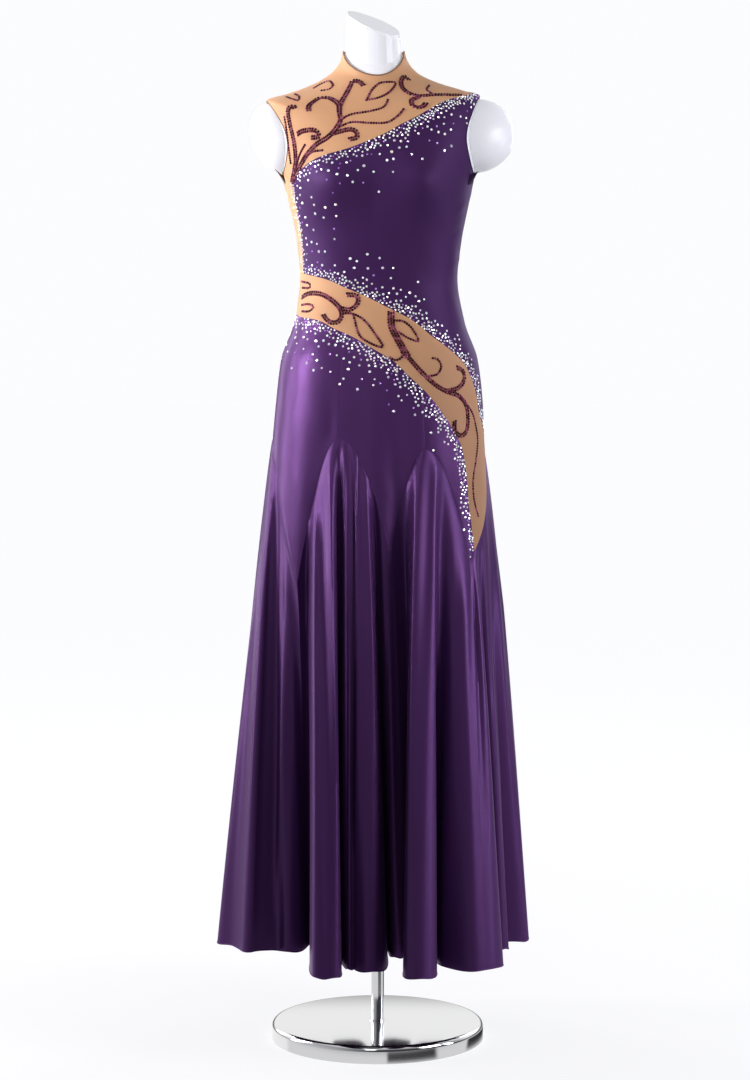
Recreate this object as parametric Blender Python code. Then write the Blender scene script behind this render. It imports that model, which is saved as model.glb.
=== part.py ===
"""A sleeveless ballroom dance dress on a limbless dress form with a round chrome stand.

The dress is cut as a dressmaker would cut it: a mesh yoke with a grown-on stand collar, a satin bodice,
a mesh band that winds down across the hip, six hip panels that end in points, and six flared godets set
between the points. Every panel is cut out of one smooth surface, the BODY, which is a stack of sections.
The godets are ruled from the panels' arched lower edges to one folded hem line.

Angles go round the dress from the front (0), positive towards +X; 180 is the centre back. A path is the
way up a panel: the height as far as the underarm, then on over the shoulder to the top of the collar.
"""

import math
from typing import Callable, NamedTuple

import bmesh
import bpy
import numpy as np
from mathutils import Vector
from mathutils.geometry import delaunay_2d_cdt

CLOTH = 0.0016  # wall of every cloth panel
SEAM_GAP = 0.0003  # between two panels at a seam
FORM_GAP = 0.0014  # between the cloth and the dress form
TIP_ROUNDING = {"path": 1.502, "spread": 0.018, "depth": 0.0030}  # of the form, under the shoulder tips
HEM_HEIGHT = 0.159
BOXINESS = 0.03  # how much a section is squarer than an ellipse
PANEL_SPACING = 0.026  # between the points of a cut panel, once it is laid flat
FLAT_PER_DEGREE = 0.0025
FLAT_PATHS = ((0.0, 0.0), (1.46, 1.46), (1.55, 1.64), (1.675, 1.80))  # (path, its height in the flat)
BUST = {"across": 0.070, "path": 1.372, "spread": 0.040, "rise": 0.015, "form_rise": 0.0135}

BASE_RADIUS, BASE_THICKNESS = 0.172, 0.027
BASE_FOOT_RADIUS, BASE_TOP_RADIUS = 0.160, 0.164  # of its flat underside and its flat top
RIM_STEPS, RIM_TURN = 8, 0.96  # of the base's rounded rim, and how much of a half circle it is
BASE_SIDES, POLE_SIDES = 56, 20
POLE_RADIUS = 0.0105
FORM_FLOOR = 0.868  # the flat underside of the dress form
NECK_TOP = {"height": 1.6255, "side_slope": -0.39, "front_slope": 0.32}
NECK_CAP_THICKNESS, CAP_INSET = 0.003, 0.0012
FORM_COLUMNS = 48
FORM_PATHS = (
    *(1.070, 1.100, 1.125, 1.150, 1.175, 1.200, 1.225, 1.250, 1.275, 1.300, 1.325, 1.350, 1.372, 1.390),
    *(1.410, 1.430, 1.452, 1.475, 1.490, 1.502, 1.514, 1.532, 1.555, 1.580, 1.605, 1.630),
)


class Section(NamedTuple):
    """One closed section of the dressed body: reaches from the axis, and heights at side, front and back.

    `lift` is how much higher than the left side the right one is.
    """

    name: str
    path: float
    left: float
    right: float
    front: float
    back: float
    side_z: float
    front_z: float
    back_z: float
    lift: float


def level(name: str, height: float, left: float, right: float, front: float, back: float) -> Section:
    """A section that lies in a horizontal plane."""
    return Section(name, height, left, right, front, back, height, height, height, 0.0)


BODY = (
    level("point tips", 0.740, 0.183, 0.183, 0.126, 0.130),
    level("thigh", 0.875, 0.175, 0.176, 0.117, 0.124),
    level("godet peaks", 0.972, 0.168, 0.171, 0.111, 0.124),
    level("full hip", 1.035, 0.162, 0.168, 0.108, 0.122),
    level("high hip", 1.100, 0.154, 0.160, 0.103, 0.111),
    level("below waist", 1.160, 0.133, 0.139, 0.094, 0.093),
    level("waist", 1.230, 0.1235, 0.1275, 0.087, 0.083),
    level("midriff", 1.290, 0.128, 0.134, 0.092, 0.087),
    level("under bust", 1.337, 0.138, 0.143, 0.099, 0.092),
    level("underarm", 1.388, 0.151, 0.154, 0.107, 0.098),
    Section("armhole", 1.430, 0.163, 0.163, 0.105, 0.101, 1.430, 1.424, 1.430, 0.002),
    Section("shoulder edge", 1.480, 0.172, 0.164, 0.098, 0.099, 1.481, 1.456, 1.466, 0.006),
    Section("shoulder tip", 1.510, 0.176, 0.162, 0.091, 0.094, 1.508, 1.475, 1.487, 0.008),
    Section("shoulder", 1.550, 0.140, 0.134, 0.083, 0.086, 1.521, 1.493, 1.506, 0.005),
    Section("half shoulder", 1.595, 0.098, 0.092, 0.073, 0.074, 1.537, 1.511, 1.524, 0.002),
    Section("neck side", 1.630, 0.070, 0.060, 0.064, 0.061, 1.556, 1.527, 1.541, 0.000),
    Section("collar", 1.655, 0.0585, 0.047, 0.0585, 0.0535, 1.573, 1.537, 1.561, 0.000),
    Section("collar top", 1.675, 0.0545, 0.0425, 0.0575, 0.0515, 1.587, 1.545, 1.584, 0.000),
)

SOFT_BOW, COLLAR_BOW = 2.0, 1.15  # how the sections sag towards the front, over the shoulders and at the collar
BOW_PATHS = (1.560, 1.640)  # where the one starts to turn into the other, and where it has


class Relief(NamedTuple):
    """A soft upright ridge (or valley, if its rise is negative) that the hip panels form above the folds."""

    name: str
    angle: float
    width_deg: float
    rise: float


HIP_RELIEF = (
    Relief("left panel", -33, 6.0, -0.0045),
    Relief("middle ridge", -3, 7.0, 0.0040),
    Relief("middle valley", 12, 6.0, -0.0110),
    Relief("right ridge", 26, 6.0, 0.0040),
    Relief("right panel", 41, 5.0, -0.0040),
)
RELIEF_TOP, RELIEF_FOOT = 1.040, 0.780  # where the relief starts, and where it is full

NECK = (
    Section("neck foot", 1.568, 0.0555, 0.0455, 0.0530, 0.0500, 1.568, 1.538, 1.556, 0.0),
    Section("neck", 1.586, 0.0500, 0.0380, 0.0450, 0.0450, 1.586, 1.562, 1.578, 0.0),
    Section("neck top", 1.629, 0.0490, 0.0360, 0.0440, 0.0430, 1.629, 1.629, 1.629, 0.0),
)

HIPS = (
    level("floor", FORM_FLOOR, 0.118, 0.118, 0.072, 0.080),
    level("floor edge", FORM_FLOOR + 0.006, 0.128, 0.128, 0.080, 0.088),
    level("thighs", FORM_FLOOR + 0.032, 0.142, 0.142, 0.086, 0.096),
    level("seat", FORM_FLOOR + 0.080, 0.156, 0.158, 0.098, 0.110),
    level("peaks", 0.990, 0.1605, 0.1645, 0.1040, 0.1170),
    level("hip", 1.035, 0.1582, 0.1642, 0.1042, 0.1180),
)


class Armhole(NamedTuple):
    """The oval opening at one side, and the form's rounded shoulder cap that fills it."""

    side: float
    front_deg: float
    back_deg: float
    cap_reach: float


ARMHOLES = {
    "left": Armhole(side=-90.0, front_deg=34.0, back_deg=17.0, cap_reach=0.036),
    "right": Armhole(side=90.0, front_deg=34.0, back_deg=17.0, cap_reach=0.055),
}
ARMHOLE_BOTTOM, ARMHOLE_TOP = 1.388, 1.512
CAP_SHARE = 0.90  # of the armhole's height and width
CAP_RINGS = (1.0, 0.95, 0.84, 0.66, 0.44, 0.22)
CAP_GAP, CAP_RIM, CAP_HOLLOW = 0.0010, 0.0010, 0.0014
CAP_SIDES = 24


class Line(NamedTuple):
    """A point of a style line, as seen from the front: its distance across, and its height."""

    across: float
    height: float


YOKE_LINE = (
    Line(-0.1100, 1.4058),
    Line(-0.0879, 1.4175),
    Line(-0.0459, 1.4294),
    Line(-0.0133, 1.4418),
    Line(0.0146, 1.4543),
    Line(0.0364, 1.4669),
    Line(0.0613, 1.4797),
    Line(0.0833, 1.4927),
    Line(0.1070, 1.5062),
    Line(0.1456, 1.5180),
)
BAND_TOP_LINE = (
    Line(-0.1175, 1.2365),
    Line(-0.1016, 1.2323),
    Line(-0.0777, 1.2258),
    Line(-0.0494, 1.2132),
    Line(-0.0196, 1.2007),
    Line(0.0054, 1.1883),
    Line(0.0539, 1.1633),
    Line(0.0853, 1.1383),
    Line(0.1186, 1.1131),
    Line(0.1411, 1.0877),
    Line(0.1559, 1.0495),
    Line(0.1627, 1.0112),
)
BAND_FOOT_LINE = (
    Line(-0.1240, 1.1690),
    Line(-0.0951, 1.1633),
    Line(-0.0698, 1.1508),
    Line(-0.0415, 1.1384),
    Line(-0.0196, 1.1260),
    Line(0.0225, 1.1011),
    Line(0.0491, 1.0762),
    Line(0.0758, 1.0511),
    Line(0.0963, 1.0259),
    Line(0.1137, 1.0005),
    Line(0.1282, 0.9751),
    Line(0.1362, 0.9497),
    Line(0.1411, 0.9117),
    Line(0.1443, 0.8738),
    Line(0.1492, 0.8357),
    Line(0.1548, 0.7900),
)
BAND_SIDE_TOP, BAND_SIDE_FOOT = 1.240, 1.176  # the band's edges at the left side
BAND_MEETING = 0.978  # where the front band's upper seam meets the back band's, at the right side
SIDE_MESH_DEG = (-63.0, -71.0)  # front edge of the side mesh, at the underarm and at the waist
SIDE_MESH_TOP, SIDE_MESH_CORNER = 1.398, 1.378  # at the armhole, and where its front edge starts
YOKE_SHOULDER = 1.534  # where the yoke seam crosses the right shoulder

# The mirror image of each front style line is the back one.
LEFT_SIDE, RIGHT_SIDE, CENTRE_BACK = -90.0, 90.0, 180.0


class Arch(NamedTuple):
    """A peak of the arched seams, and the hip panels' point that follows it.

    A leg falls from its peak by its share of the angle to the point, to the power `before` or `after`.
    """

    before: float
    peak: float
    peak_z: float
    after: float
    point: float
    point_z: float


ARCHES = (
    Arch(before=1.9, peak=-90.0, peak_z=0.976, after=1.9, point=-42.6, point_z=0.750),
    Arch(before=1.9, peak=-21.0, peak_z=0.978, after=1.9, point=8.0, point_z=0.790),
    Arch(before=1.9, peak=25.0, peak_z=0.961, after=1.9, point=51.5, point_z=0.786),
    Arch(before=0.7, peak=101.0, peak_z=0.976, after=1.9, point=134.0, point_z=0.782),
    Arch(before=1.9, peak=160.0, peak_z=0.974, after=1.9, point=188.0, point_z=0.776),
    Arch(before=1.9, peak=216.0, peak_z=0.974, after=1.9, point=241.0, point_z=0.754),
)


class Fold(NamedTuple):
    """One fold of the hem: its outward lobe, and the valley that follows it.

    The `top` angles say where the lobe and the valley leave the hip panels. A lobe's fall below 1 opens it
    sooner than a straight line would.
    """

    name: str
    top: float
    angle: float
    radius: float
    width: float
    facing: float
    valley_top: float
    valley_angle: float
    valley_radius: float
    fall: float = 0.92


FOLDS = (
    Fold("left side", -89, -86, 0.2590, 0.060, -78, -72, -67, 0.2210),
    Fold("left front", -60, -59.5, 0.1680, 0.042, -14, -39.5, -74, 0.1120),
    Fold("left column", -31, -16.7, 0.2770, 0.042, -6, -20.5, -26, 0.1450),
    Fold("crease", -16, -12, 0.2075, 0.014, -15, -11.5, -10, 0.1900),
    Fold("centre column", -10, -3.4, 0.2225, 0.046, -3, -2, 11, 0.0800),
    Fold("inner pleat", 4, 16, 0.1300, 0.024, 8, 13, 33, 0.1070),
    Fold("right column", 27, 14.8, 0.2770, 0.052, 12, 37, 33, 0.1610),
    Fold("right front", 50, 35.4, 0.2625, 0.094, 5, 62, 72, 0.1780),
    Fold("side pleat", 70, 73.5, 0.2180, 0.022, 55, 78, 85, 0.1970),
    Fold("right side", 97, 91, 0.2460, 0.034, 80, 105, 100, 0.1550, 0.77),
    Fold("right back", 115, 112, 0.2500, 0.058, 104, 124, 123, 0.1350),
    Fold("right back column", 136, 135, 0.2620, 0.054, 136, 146, 145, 0.1200),
    Fold("right tail", 155, 154, 0.2520, 0.044, 158, 163, 163, 0.1380),
    Fold("centre tail", 173, 173, 0.2650, 0.060, 172, 184, 184, 0.1100),
    Fold("left tail", 194, 194, 0.2580, 0.048, 196, 203, 203, 0.1320),
    Fold("left back column", 213, 214, 0.2640, 0.058, 212, 224, 226, 0.1180),
    Fold("left back", 237, 237, 0.2560, 0.054, 240, 248, 247, 0.1420),
    Fold("left back edge", 258, 257, 0.2580, 0.046, 262, 265, 266, 0.2050),
)
BENDS_PER_FOLD = 4  # a lobe's two edges, its crown between them, and the valley
LOBE_ROUNDNESS = 0.32  # how far a lobe's edges lie behind its crown, as a share of its width
LOBE_SPREAD = 0.4  # how far from its crown a lobe's edges leave the panels, as a share of the way to a valley
VALLEY_FALL = 0.72  # as a lobe's fall
BEND_SAMPLES = 6000
COLUMNS_PER_BEND = 2.0
GODET_ROWS = (0.0, 0.07, 0.16, 0.28, 0.42, 0.57, 0.72, 0.86, 1.0)

SHARP_DEG = 50.0  # edges that turn more than this stay sharp

FINISHES = {
    "satin": {"colour": (0.115, 0.030, 0.200), "roughness": 0.35, "metallic": 0.0},
    "mesh": {"colour": (0.600, 0.340, 0.180), "roughness": 0.75, "metallic": 0.0},
    "form": {"colour": (0.850, 0.855, 0.870), "roughness": 0.25, "metallic": 0.0},
    "chrome": {"colour": (0.780, 0.780, 0.790), "roughness": 0.06, "metallic": 1.0},
}


# ---------------------------------------------------------------------------------------------- curves


def smooth_table(stations: np.ndarray, values: np.ndarray, at: np.ndarray) -> np.ndarray:
    """Values between the rows of a table, on cubics whose slopes never overshoot a row."""
    step = np.diff(stations)
    rise = np.diff(values, axis=0) / step[:, None]
    slope = np.zeros_like(values)
    ahead, behind = rise[1:], rise[:-1]
    weight_ahead = (2 * step[:-1] + step[1:])[:, None]
    weight_behind = (step[:-1] + 2 * step[1:])[:, None]
    same_way = ahead * behind > 0
    safe_ahead, safe_behind = np.where(same_way, ahead, 1.0), np.where(same_way, behind, 1.0)
    mean = (weight_ahead + weight_behind) / (weight_ahead / safe_ahead + weight_behind / safe_behind)
    slope[1:-1] = np.where(same_way, mean, 0.0)
    slope[0], slope[-1] = rise[0], rise[-1]
    place = np.clip(np.searchsorted(stations, at, side="right") - 1, 0, len(stations) - 2)
    t = ((at - stations[place]) / step[place])[:, None]
    width = step[place][:, None]
    return (
        values[place] * (1 + 2 * t) * (1 - t) ** 2
        + slope[place] * width * t * (1 - t) ** 2
        + values[place + 1] * t**2 * (3 - 2 * t)
        - slope[place + 1] * width * t**2 * (1 - t)
    )


def spline_through(points: np.ndarray, samples: int) -> np.ndarray:
    """Points at even parameter steps on a Catmull-Rom spline through an open row of points."""
    ends = np.vstack([2 * points[0] - points[1], points, 2 * points[-1] - points[-2]])
    at = np.linspace(0, len(points) - 1, samples)
    place = np.clip(at.astype(int), 0, len(points) - 2)
    t = (at - place)[:, None]
    a, b, c, d = (ends[place + k] for k in range(4))
    return 0.5 * (2 * b + (c - a) * t + (2 * a - 5 * b + 4 * c - d) * t**2 + (3 * b - a - 3 * c + d) * t**3)


# -------------------------------------------------------------------------------------- the body surface

STATIONS = np.array([row.path for row in BODY])
REACHES = np.array([row[2:] for row in BODY])

# How a style line closes in on its points: steps, share of the error mended in each, the least that the
# surface is taken to face the front, and how near the sides a point may come.
SOLVE_STEPS, SOLVE_SHARE, SOLVE_FACING, SOLVE_LIMIT_DEG = 60, 0.6, 0.08, 89.5

MERGE_DEG = 0.25  # points of a seam as near as this to its end are left out
MERGE_FLAT = 0.0004  # and so are points of an outline as near as this to the last, laid flat


def ring_points(rows: np.ndarray, angles: np.ndarray, bow: np.ndarray | float = SOFT_BOW) -> np.ndarray:
    """Points at these angles on the sections whose reaches and heights are these rows.

    `bow` is the power by which a section sags or rises from its sides to its front and back.
    """
    left, right, front, back, side_z, front_z, back_z, lift = rows.T
    turn = np.radians(angles)
    sine, cosine = np.sin(turn), np.cos(turn)
    square = 1 + BOXINESS * np.sin(2 * turn) ** 2
    x = np.where(sine > 0, right, left) * sine * square
    y = -np.where(cosine > 0, front, back) * cosine * square
    end_z = np.where(cosine > 0, front_z, back_z)
    side_z = side_z + np.where(sine > 0, lift, 0.0)
    share = np.abs(cosine) ** bow
    return np.column_stack([x, y, side_z * (1 - share) + end_z * share])


def hip_relief(angles: np.ndarray, paths: np.ndarray) -> np.ndarray:
    """How far the soft ridges and valleys of the hip panels stand out, the same in front and at the back."""
    share = np.clip((RELIEF_TOP - paths) / (RELIEF_TOP - RELIEF_FOOT), 0, 1)
    rise = np.zeros(len(angles))
    for row in HIP_RELIEF:
        for centre in (row.angle, CENTRE_BACK - row.angle):
            off = (angles - centre + 180) % 360 - 180
            rise += row.rise * np.exp(-((off / row.width_deg) ** 2))
    return rise * share**2 * (3 - 2 * share)


def body_points(angles: np.ndarray, paths: np.ndarray, bust: float = BUST["rise"]) -> np.ndarray:
    """Points on the outside of the cloth."""
    rows = smooth_table(STATIONS, REACHES, paths)
    rows[:, :4] += hip_relief(angles, paths)[:, None]
    points = ring_points(rows, angles, np.interp(paths, BOW_PATHS, (SOFT_BOW, COLLAR_BOW)))
    cup = np.zeros(len(points))
    for side in (-1, 1):
        off = np.hypot(points[:, 0] - side * BUST["across"], paths - BUST["path"]) / BUST["spread"]
        cup += np.exp(-(off**2))
    points[:, 1] -= np.where(np.cos(np.radians(angles)) > 0, bust * cup, 0.0)
    return points


def body_frame(angles: np.ndarray, paths: np.ndarray) -> tuple[np.ndarray, np.ndarray, np.ndarray]:
    """(outward normals, metres per degree of angle, metres per metre of path) on the body."""
    turn, rise = 0.25, 0.0005
    round_way = (body_points(angles + turn, paths) - body_points(angles - turn, paths)) / (2 * turn)
    up_way = (body_points(angles, paths + rise) - body_points(angles, paths - rise)) / (2 * rise)
    normals = np.cross(round_way, up_way)
    normals /= np.linalg.norm(normals, axis=1)[:, None]
    return normals, np.linalg.norm(round_way, axis=1), np.linalg.norm(up_way, axis=1)


def on_front(line: tuple[Line, ...]) -> np.ndarray:
    """The (angle, path) of each point of a style line that is given as seen from the front."""
    target = np.array(line, float)
    angles = np.degrees(np.arcsin(target[:, 0] / REACHES[:, :2].max()))
    paths = target[:, 1].copy()
    for _ in range(SOLVE_STEPS):
        off = target - body_points(angles, paths)[:, ::2]
        round_scale = body_frame(angles, paths)[1] * np.maximum(np.cos(np.radians(angles)), SOLVE_FACING)
        angles = np.clip(angles + SOLVE_SHARE * off[:, 0] / round_scale, -SOLVE_LIMIT_DEG, SOLVE_LIMIT_DEG)
        paths = paths + SOLVE_SHARE * off[:, 1]
    return np.column_stack([angles, paths])


def mirrored(line: np.ndarray) -> np.ndarray:
    """The back twin of a front line."""
    return np.column_stack([CENTRE_BACK - line[:, 0], line[:, 1]])


# ------------------------------------------------------------------------------------------ style lines


def straight(start: tuple[float, float], end: tuple[float, float], samples: int) -> np.ndarray:
    """A straight run in angle and path."""
    return np.linspace(start, end, samples)


def armhole_point(hole: Armhole, front: bool, turn: np.ndarray, share: float) -> np.ndarray:
    """Points of an oval that is this share of the armhole; it turns from 0 at the foot to pi at the top."""
    reach = hole.front_deg if front else hole.back_deg
    way = -math.copysign(1.0, hole.side) * (1 if front else -1)
    middle, half = (ARMHOLE_TOP + ARMHOLE_BOTTOM) / 2, (ARMHOLE_TOP - ARMHOLE_BOTTOM) / 2
    return np.column_stack([hole.side + way * share * reach * np.sin(turn), middle - share * half * np.cos(turn)])


def armhole_edge(hole: Armhole, front: bool, foot: float, top: float, samples: int) -> np.ndarray:
    """The armhole's front or back edge, from one path to another."""
    height = ARMHOLE_TOP - ARMHOLE_BOTTOM
    low, high = (math.acos(1 - 2 * (path - ARMHOLE_BOTTOM) / height) for path in (foot, top))
    return armhole_point(hole, front, np.linspace(low, high, samples), 1.0)


def seam_height(angle: float) -> float:
    """Height of the arched seams at any angle."""
    turned = (angle - LEFT_SIDE) % 360 + LEFT_SIDE
    for row, after in zip(ARCHES, (*ARCHES[1:], ARCHES[0]._replace(peak=LEFT_SIDE + 360))):
        if turned < row.point:
            return leg_height(row.peak, row.peak_z, row, row.after, turned)
        if turned <= after.peak:
            return leg_height(after.peak, after.peak_z, row, after.before, turned)
    raise ValueError(f"no arch at {angle}")


def leg_height(peak: float, peak_z: float, row: Arch, power: float, angle: float) -> float:
    """Height at an angle on the leg between a peak and this row's point."""
    share = min(abs(angle - peak) / abs(row.point - peak), 1.0)
    return peak_z - (peak_z - row.point_z) * share**power


def arch_leg(start: float, end: float) -> np.ndarray:
    """The arched seam from one angle to another, by way of every godet column between them."""
    low, high = min(start, end), max(start, end)
    columns = [angle + turn for angle in SEAM_ANGLES for turn in (-360, 0, 360)]
    passed = [angle for angle in columns if low + MERGE_DEG < angle < high - MERGE_DEG]
    angles = sorted([low, *passed, high], reverse=bool(start > end))
    return np.column_stack([angles, [seam_height(angle) for angle in angles]])


def cut_at(line: np.ndarray, angle: float) -> float:
    """The path at which a line that runs one way round crosses an angle."""
    order = np.argsort(line[:, 0])
    return float(np.interp(angle, line[order, 0], line[order, 1]))


def between(line: np.ndarray, start: float, end: float) -> np.ndarray:
    """The stretch of a line from one angle to another, with both ends on it."""
    order = np.argsort(line[:, 0])
    line = line[order]
    low, high = min(start, end), max(start, end)
    passed = line[(line[:, 0] > low + MERGE_DEG) & (line[:, 0] < high - MERGE_DEG)]
    run = np.vstack([(low, cut_at(line, low)), passed, (high, cut_at(line, high))])
    return run if start < end else run[::-1]


def yoke_seam() -> np.ndarray:
    """The seam of yoke and bodice, from the side mesh up to the right shoulder seam."""
    start, end = (SIDE_MESH_DEG[0], SIDE_MESH_CORNER), (RIGHT_SIDE, YOKE_SHOULDER)
    return spline_through(np.vstack([start, on_front(YOKE_LINE), end]), 27)


def band_top() -> np.ndarray:
    """The band's upper seam in front, from the left side to the right side."""
    start, end = (LEFT_SIDE, BAND_SIDE_TOP), (RIGHT_SIDE, BAND_MEETING)
    return spline_through(np.vstack([start, on_front(BAND_TOP_LINE), end]), 30)


def down_to_arches(line: np.ndarray) -> np.ndarray:
    """A line that starts above the arched seams, cut off where it meets them."""
    above = line[:, 1] - [seam_height(angle) for angle in line[:, 0]]
    last = int(np.argmax(above < 0)) - 1
    share = above[last] / (above[last] - above[last + 1])
    tip = line[last] + share * (line[last + 1] - line[last])
    return np.vstack([line[: last + 1], (tip[0], seam_height(tip[0]))])


def side_mesh_edge() -> np.ndarray:
    """The seam of bodice and side mesh, from the yoke seam down to the band."""
    return straight(YOKE_SEAM[0], (SIDE_MESH_DEG[1], cut_at(BAND_TOP, SIDE_MESH_DEG[1])), 8)


# ------------------------------------------------------------------------------------- cutting the panels

LEAST_MITRE = 0.35  # keeps the sharpest points of a panel from being drawn in too far
EDGE_CLEARANCE = 0.5  # how far inner points keep from an outline, as a share of their spacing
CUT_TOLERANCE = 1e-7


def laid_flat(points: np.ndarray) -> np.ndarray:
    """Angles and paths as flat points, spread wider where the shoulders curve most."""
    paths, heights = zip(*FLAT_PATHS)
    return np.column_stack([points[:, 0] * FLAT_PER_DEGREE, np.interp(points[:, 1], paths, heights)])


def lifted(flat: np.ndarray) -> np.ndarray:
    """Flat points as angles and paths."""
    paths, heights = zip(*FLAT_PATHS)
    return np.column_stack([flat[:, 0] / FLAT_PER_DEGREE, np.interp(flat[:, 1], heights, paths)])


def joined(*runs: np.ndarray) -> np.ndarray:
    """One closed outline from runs that meet end to end, with each shared end kept once."""
    points = np.vstack(runs)
    flat = laid_flat(points)
    keep = np.linalg.norm(flat - np.roll(flat, 1, axis=0), axis=1) > MERGE_FLAT
    return points[keep]


def signed_area(points: np.ndarray) -> float:
    """Area of a closed outline, positive when it turns anticlockwise."""
    x, y = points.T
    return float((x * np.roll(y, -1) - y * np.roll(x, -1)).sum() / 2)


def drawn_in(outline: np.ndarray, distance: float) -> np.ndarray:
    """An anticlockwise outline moved inwards by a real distance on the body."""
    _, across, up = body_frame(*outline.T)
    scale = np.column_stack([across, up])
    towards_next = (np.roll(outline, -1, axis=0) - outline) * scale
    from_last = (outline - np.roll(outline, 1, axis=0)) * scale
    towards_next /= np.linalg.norm(towards_next, axis=1)[:, None]
    from_last /= np.linalg.norm(from_last, axis=1)[:, None]
    first = np.column_stack([-from_last[:, 1], from_last[:, 0]])
    second = np.column_stack([-towards_next[:, 1], towards_next[:, 0]])
    middle = first + second
    middle /= np.maximum((middle * first).sum(axis=1), LEAST_MITRE)[:, None]
    return outline + distance * middle / scale


def lies_in(points: np.ndarray, outline: np.ndarray) -> np.ndarray:
    """Which points lie in a closed outline."""
    found = np.zeros(len(points), bool)
    for (x0, y0), (x1, y1) in zip(outline, np.roll(outline, -1, axis=0)):
        crosses = (y0 > points[:, 1]) != (y1 > points[:, 1])
        with np.errstate(divide="ignore", invalid="ignore"):
            reach = (x1 - x0) * (points[:, 1] - y0) / (y1 - y0) + x0
        found = found ^ (crosses & (points[:, 0] < reach))
    return found


def distance_to(points: np.ndarray, outline: np.ndarray) -> np.ndarray:
    """Distance of each point from a closed outline."""
    nearest = np.full(len(points), np.inf)
    for start, end in zip(outline, np.roll(outline, -1, axis=0)):
        along = end - start
        share = np.clip(((points - start) @ along) / max(along @ along, 1e-12), 0, 1)
        nearest = np.minimum(nearest, np.linalg.norm(points - start - share[:, None] * along, axis=1))
    return nearest


def cut_out(outline: np.ndarray) -> tuple[np.ndarray, list[tuple[int, int, int]]]:
    """(points in angle and path, triangles) of a panel with this outline."""
    flat = laid_flat(outline)
    low, high = flat.min(axis=0), flat.max(axis=0)
    row_height = PANEL_SPACING * math.sqrt(3) / 2
    grid = []
    for row in range(int((high[1] - low[1]) / row_height) + 1):
        start = low[0] + (row % 2) * PANEL_SPACING / 2
        grid += [(x, low[1] + row * row_height) for x in np.arange(start, high[0], PANEL_SPACING)]
    grid = np.array(grid)
    grid = grid[lies_in(grid, flat)]
    grid = grid[distance_to(grid, flat) > EDGE_CLEARANCE * PANEL_SPACING]
    corners = [Vector(p) for p in np.vstack([flat, grid])]
    count = len(flat)
    edges = [(i, (i + 1) % count) for i in range(count)]
    verts, _, faces, _, _, _ = delaunay_2d_cdt(corners, edges, [], 1, CUT_TOLERANCE)
    return lifted(np.array([tuple(v) for v in verts])), [tuple(face) for face in faces]


# -------------------------------------------------------------------------------------- building objects


def finish_material(name: str) -> bpy.types.Material:
    """The material of one finish."""
    material = bpy.data.materials.get(name) or bpy.data.materials.new(name)
    material.use_nodes = True
    shader = material.node_tree.nodes["Principled BSDF"]
    shader.inputs["Base Color"].default_value = (*FINISHES[name]["colour"], 1.0)
    shader.inputs["Roughness"].default_value = FINISHES[name]["roughness"]
    shader.inputs["Metallic"].default_value = FINISHES[name]["metallic"]
    return material


def add_object(name: str, mesh_data: bmesh.types.BMesh, finish: str) -> bpy.types.Object:
    """An object made from a bmesh, smooth shaded, with its material."""
    mesh = bpy.data.meshes.new(name)
    mesh_data.to_mesh(mesh)
    mesh_data.free()
    mesh.shade_smooth()
    mesh.set_sharp_from_angle(angle=math.radians(SHARP_DEG))
    mesh.materials.append(finish_material(finish))
    obj = bpy.data.objects.new(name, mesh)
    bpy.context.scene.collection.objects.link(obj)
    return obj


def add_wall(name: str, outer: np.ndarray, inner: np.ndarray, faces: list, finish: str) -> bpy.types.Object:
    """A closed wall between two sheets with the same faces, rimmed along their open edges."""
    bm = bmesh.new()
    right_side = [bm.verts.new(p) for p in outer]
    wrong_side = [bm.verts.new(p) for p in inner]
    uses: dict[tuple[int, int], int] = {}
    for face in faces:
        bm.faces.new([right_side[i] for i in face])
        bm.faces.new([wrong_side[i] for i in reversed(face)])
        for a, b in zip(face, (*face[1:], face[0])):
            uses[(a, b)] = uses.get((a, b), 0) + 1
    for a, b in uses:
        if (b, a) not in uses:
            bm.faces.new([right_side[b], right_side[a], wrong_side[a], wrong_side[b]])
    bmesh.ops.triangulate(bm, faces=[f for f in bm.faces if len(f.verts) > 3])
    return add_object(name, bm, finish)


def add_panel(name: str, outline: np.ndarray, finish: str) -> bpy.types.Object:
    """A cloth panel cut from the body with this outline, as a wall of one thickness."""
    if signed_area(outline) < 0:
        outline = outline[::-1]
    points, faces = cut_out(drawn_in(outline, SEAM_GAP / 2))
    outer = body_points(*points.T)
    normals, _, _ = body_frame(*points.T)
    return add_wall(name, outer, outer - normals * CLOTH, faces, finish)


def ring_stack(rings: list[np.ndarray], name: str, finish: str) -> bpy.types.Object:
    """A closed solid through rings of equal size, from the lowest to the highest."""
    bm = bmesh.new()
    loops = []
    for ring in rings:
        loops.append([bm.verts.new(p) for p in ring])
    count = len(loops[0])
    for low, high in zip(loops, loops[1:]):
        for i in range(count):
            j = (i + 1) % count
            bm.faces.new((low[i], low[j], high[j], high[i]))
    bm.faces.new(list(reversed(loops[0])))
    bm.faces.new(loops[-1])
    bmesh.ops.recalc_face_normals(bm, faces=bm.faces)
    return add_object(name, bm, finish)


# ------------------------------------------------------------------------------------------- the panels


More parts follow.
